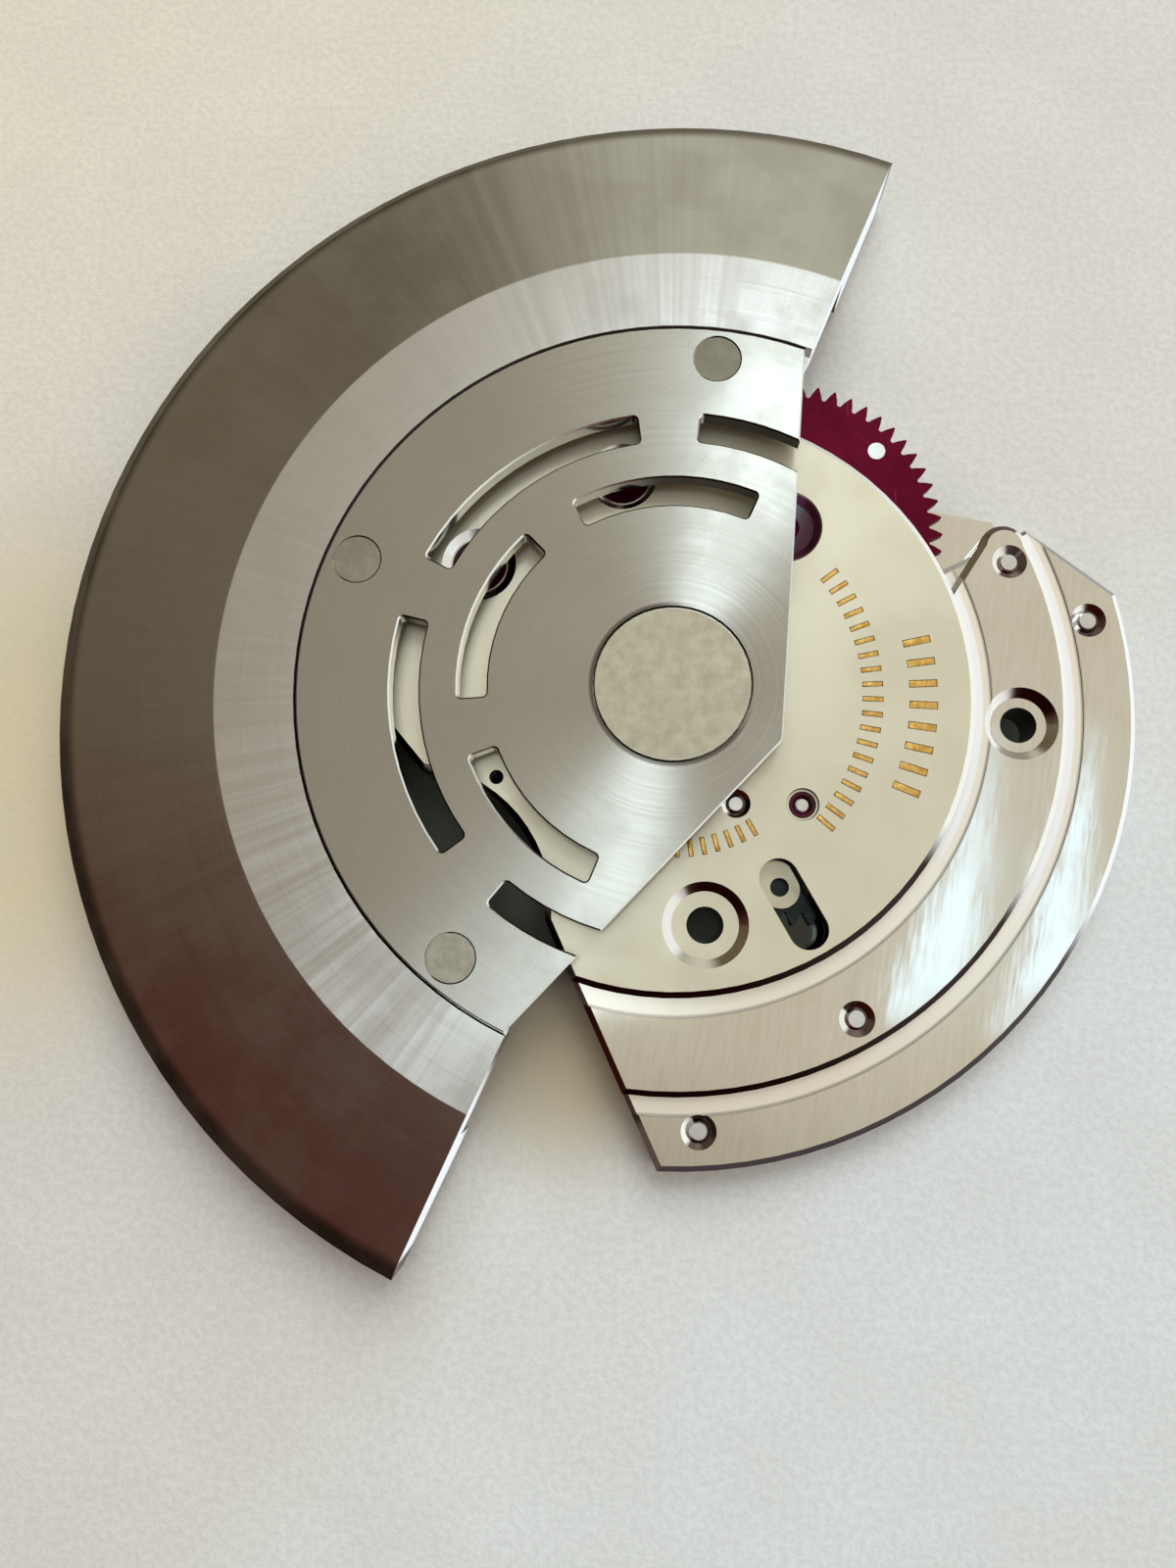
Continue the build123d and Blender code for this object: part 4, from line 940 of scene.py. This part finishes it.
class WINDING_OT_steel(bpy.types.Operator):
    """Polish the steel arbors, pinions, pawls, pins and screws, and finish the axle's lock"""

    bl_idname = "winding.steel"
    bl_label = "Steel pieces"

    def execute(self, context):
        given = context.scene.winding_steel
        material, graph, shader = new_material("Polished steel", Metallic=1.0)
        marks = effect(graph, handled_group, Scale=3.0)
        grain = graph.noise(millimetres(graph), scale=14.0, detail=3.0, roughness=0.6)
        tint = graph.wash(tuple(given.colour), TINTS["worn steel"], marks["Smudge"], 0.25)
        tint = graph.wash(tint, TINTS["scratched steel"], marks["Scratch"], 0.20)
        coat(graph, shader, tint, graph.blend(grain, 0.14, 0.26), graph.bump(grain, 0.08, 0.01))
        dress(STEEL_NODES, material)
        self.lock()
        return {"FINISHED"}

    def lock(self):
        material, graph, shader = new_material("Axle lock", Metallic=1.0)
        marks = effect(graph, handled_group, Scale=2.5)
        grain = graph.noise(millimetres(graph), scale=8.0, detail=3.0, roughness=0.6)
        tint = graph.wash(TINTS["lock"], TINTS["worn lock"], marks["Smudge"], 0.5)
        # painted shade: the lock's upright walls are painted dark
        tint = graph.mix(level_top(graph), TINTS["lock wall in painted shade"], tint)
        coat(graph, shader, tint, graph.blend(grain, 0.34, 0.48), graph.bump(grain, 0.15, 0.01))
        dress(["axle_lock"], material)


class WINDING_OT_stage(bpy.types.Operator):
    """Lay the paper, hang the lamps and set the camera"""

    bl_idname = "winding.stage"
    bl_label = "Stage"

    def execute(self, context):
        given = context.scene.winding_stage
        self.paper(context, given)
        self.window(context, given)
        self.panes(context, given)
        self.cards(context, given)
        self.sky(context)
        self.camera(context)
        context.scene.view_settings.view_transform = "Standard"
        return {"FINISHED"}

    def paper(self, context, given):
        mesh = bmesh.new()
        bmesh.ops.create_grid(mesh, x_segments=1, y_segments=1, size=given.paper_size)
        paper = new_object(context, "paper", mesh)
        material, graph, shader = new_material("Paper")
        place = millimetres(graph)
        grain = graph.noise(place, scale=6.0, detail=4.0, roughness=0.65)
        cloud = graph.noise(place, scale=0.35, detail=3.0, roughness=0.5)
        slant = graph.towards(place, SOUTH_EAST)
        # painted light: the paper is painted warmer towards the north-west and cooler towards the south-east
        pale = graph.mix(graph.step(slant, -24.0, -6.0), TINTS["paper in painted warm light"], tuple(given.paper_colour))
        pale = graph.mix(graph.step(slant, 2.5, 12.0), pale, TINTS["paper in painted cool light"])
        tint = graph.vector("SCALE", pale, scale=graph.step(grain, 0.36, 0.64, 0.91, 1.0))
        squeezed = graph.vector("MULTIPLY", place, (1.0, 0.6, 0.0))
        # painted warm shade on the left of the paper
        tint = graph.mix(graph.near(squeezed, WARM_SHADE_ON_PAPER, 1.5, 5.5), tint, TINTS["paper in painted warm shade"])
        # painted shadow in the notch between the weight and the bridge
        tint = graph.mix(graph.near(place, NOTCH_SHADOW, 0.6, 3.7), tint, TINTS["painted shadow in the notch"])
        # painted shade on the paper under the module, seen through holes and slots
        for middle, radius in SHADE_UNDER_MODULE:
            under = graph.near(place, middle, radius - 0.4, radius + 1.2)
            tint = graph.mix(under, tint, TINTS["painted shade under the module"])
        tint = graph.streak(tint, TINTS["clouded paper"], cloud, 0.15, (0.30, 0.70))
        coat(graph, shader, tint, 0.9, graph.bump(grain, 0.35, 0.05))
        paper.data.materials.append(material)

    def window(self, context, given):
        light = bpy.data.lights.new("window", "AREA")
        light.shape = "SQUARE"
        light.size = given.key_size
        light.energy = given.key_radiance * math.pi * given.key_size**2
        light.color = TINTS["window"]
        lamp = bpy.data.objects.new("window", light)
        level = math.cos(given.key_height) * given.key_distance
        lamp.location = (
            level * math.cos(given.key_bearing), level * math.sin(given.key_bearing),
            math.sin(given.key_height) * given.key_distance,
        )
        lamp.rotation_euler = Vector(lamp.location).to_track_quat("Z", "Y").to_euler()
        lamp.visible_camera = False
        lamp.visible_glossy = False
        context.scene.collection.objects.link(lamp)

    def panes(self, context, given):
        for number, (middle, bearing, length, width, radiance) in enumerate(PANES, 1):
            light = bpy.data.lights.new(f"pane_{number}", "AREA")
            light.shape = "RECTANGLE"
            light.size = length * MM
            light.size_y = width * MM
            light.energy = given.pane_light * radiance * math.pi * light.size * light.size_y
            light.color = TINTS["pane"]
            lamp = bpy.data.objects.new(f"pane_{number}", light)
            lamp.location = [part * MM for part in middle]
            lamp.rotation_euler = (0.0, 0.0, math.radians(bearing))
            lamp.visible_camera = False
            context.scene.collection.objects.link(lamp)

    def cards(self, context, given):
        bearings = [math.radians(CARD_START + CARD_STEP * number) for number in range(CARD_POINTS)]
        inner, outer = (
            [(reach * math.cos(bearing), reach * math.sin(bearing)) for bearing in bearings]
            for reach in CARD_RADII
        )
        self.glowing(context, "bright_card", inner, outer, CARD_HEIGHT, given.card_light, TINTS["card"])
        for number, (east, west) in enumerate(GLINTS, 1):
            name = f"glint_{number}"
            self.glowing(context, name, east, west, GLINT_HEIGHT, given.glint_light, TINTS["glint"])

    def glowing(self, context, name, first, second, height, radiance, tint):
        """A level card between two rows of points, seen only in polished faces."""
        mesh = bmesh.new()
        rows = [[mesh.verts.new((x * MM, y * MM, height * MM)) for x, y in row] for row in (first, second)]
        for number in range(1, len(first)):
            mesh.faces.new((rows[0][number - 1], rows[1][number - 1], rows[1][number], rows[0][number]))
        card = new_object(context, name, mesh)
        material, graph, shader = new_material(
            f"Glow of {name}", Roughness=0.9, Base_Color=(0.0, 0.0, 0.0), Emission_Color=tint,
            Emission_Strength=radiance,
        )
        card.data.materials.append(material)
        card.visible_camera = False
        card.visible_diffuse = False
        card.visible_shadow = False
        card.visible_transmission = False

    def sky(self, context):
        world = bpy.data.worlds.new("Room")
        world.use_nodes = True
        world.node_tree.nodes.clear()
        graph = Graph(world.node_tree)
        x, y, z = graph.split(graph.node("ShaderNodeTexCoord").outputs["Generated"])
        level = graph.vector("NORMALIZE", graph.join(x, y, 0.0))
        side, towards = SKY["side"], {}
        for name, low, high in (("north", 0.74, 1.0), ("east", 0.0, 0.9), ("south", 0.05, 0.85)):
            bearing, tint = SKY[name]
            aim = (math.cos(math.radians(bearing)), math.sin(math.radians(bearing)), 0.0)
            towards[name] = graph.towards(level, aim)
            side = graph.mix(graph.step(towards[name], low, high), side, tint)
        # in the south the side of the sky reaches higher
        lifted = graph.math("SUBTRACT", z, graph.step(towards["south"], 0.05, 0.85, 0.0, 0.16))
        high_sky = graph.mix(graph.step(x, -0.40, 0.25), SKY["high west"], SKY["high east"])
        high_sky = graph.mix(graph.step(y, -0.26, -0.05, 0.34, 0.0), high_sky, SKY["overhead shade"])
        colours = graph.mix(graph.step(lifted, 0.60, 0.84), side, high_sky)
        horizon = graph.mix(graph.step(y, 0.10, 0.60), SKY["horizon"], SKY["low north"])
        horizon = graph.mix(graph.step(x, 0.30, 0.90), horizon, SKY["low east"])
        colours = graph.mix(graph.step(z, 0.33, 0.44), horizon, colours)
        seen = graph.node("ShaderNodeLightPath").outputs["Is Camera Ray"]
        colours = graph.mix(seen, colours, SKY["seen by the camera"])
        background = graph.node("ShaderNodeBackground", {"Color": colours, "Strength": 1.0})
        last = graph.node("ShaderNodeOutputWorld")
        world.node_tree.links.new(background.outputs[0], last.inputs["Surface"])
        context.scene.world = world

    def camera(self, context):
        lens = bpy.data.cameras.new("camera")
        lens.sensor_fit = "VERTICAL"
        lens.sensor_height = SENSOR
        lens.lens = CAMERA_FOCUS / PICTURE_HEIGHT * SENSOR
        lens.clip_start = NEAREST
        lens.clip_end = FARTHEST
        camera = bpy.data.objects.new("camera", lens)
        turned = Matrix(CAMERA_AXES).transposed().to_4x4()
        camera.matrix_world = Matrix.Translation(MM * Vector(CAMERA_PLACE)) @ turned
        context.scene.collection.objects.link(camera)
        context.scene.camera = camera


class WINDING_PT_panel(bpy.types.Panel):
    """Lists the groups of pieces and the stage."""

    bl_idname = "WINDING_PT_panel"
    bl_label = "Winding module"
    bl_space_type = "VIEW_3D"
    bl_region_type = "UI"
    bl_category = "Winding module"

    def draw(self, context):
        for operator in OPERATORS:
            self.layout.operator(operator.bl_idname)
        for name in SETTINGS:
            box = self.layout.box()
            group = getattr(context.scene, name)
            for label in group.bl_rna.properties.keys():
                if label not in ("rna_type", "name"):
                    box.prop(group, label)


OPERATORS = (
    WINDING_OT_weight, WINDING_OT_plate, WINDING_OT_bridges, WINDING_OT_marks, WINDING_OT_wheels,
    WINDING_OT_jewels, WINDING_OT_steel, WINDING_OT_stage,
)
SETTINGS = {
    "winding_weight": WeightSettings,
    "winding_plate": PlateSettings,
    "winding_bridge": BridgeSettings,
    "winding_marks": MarkSettings,
    "winding_wheels": WheelSettings,
    "winding_jewels": JewelSettings,
    "winding_steel": SteelSettings,
    "winding_stage": StageSettings,
}


def register():
    for name, settings in SETTINGS.items():
        bpy.utils.register_class(settings)
        setattr(bpy.types.Scene, name, PointerProperty(type=settings))
    for operator in OPERATORS:
        bpy.utils.register_class(operator)
    bpy.utils.register_class(WINDING_PT_panel)


def unregister():
    bpy.utils.unregister_class(WINDING_PT_panel)
    for operator in reversed(OPERATORS):
        bpy.utils.unregister_class(operator)
    for name, settings in SETTINGS.items():
        delattr(bpy.types.Scene, name)
        bpy.utils.unregister_class(settings)


def main():
    register()
    bpy.ops.winding.weight()
    bpy.ops.winding.plate()
    bpy.ops.winding.bridges()
    bpy.ops.winding.marks()
    bpy.ops.winding.wheels()
    bpy.ops.winding.jewels()
    bpy.ops.winding.steel()
    bpy.ops.winding.stage()


if __name__ == "__main__":
    main()
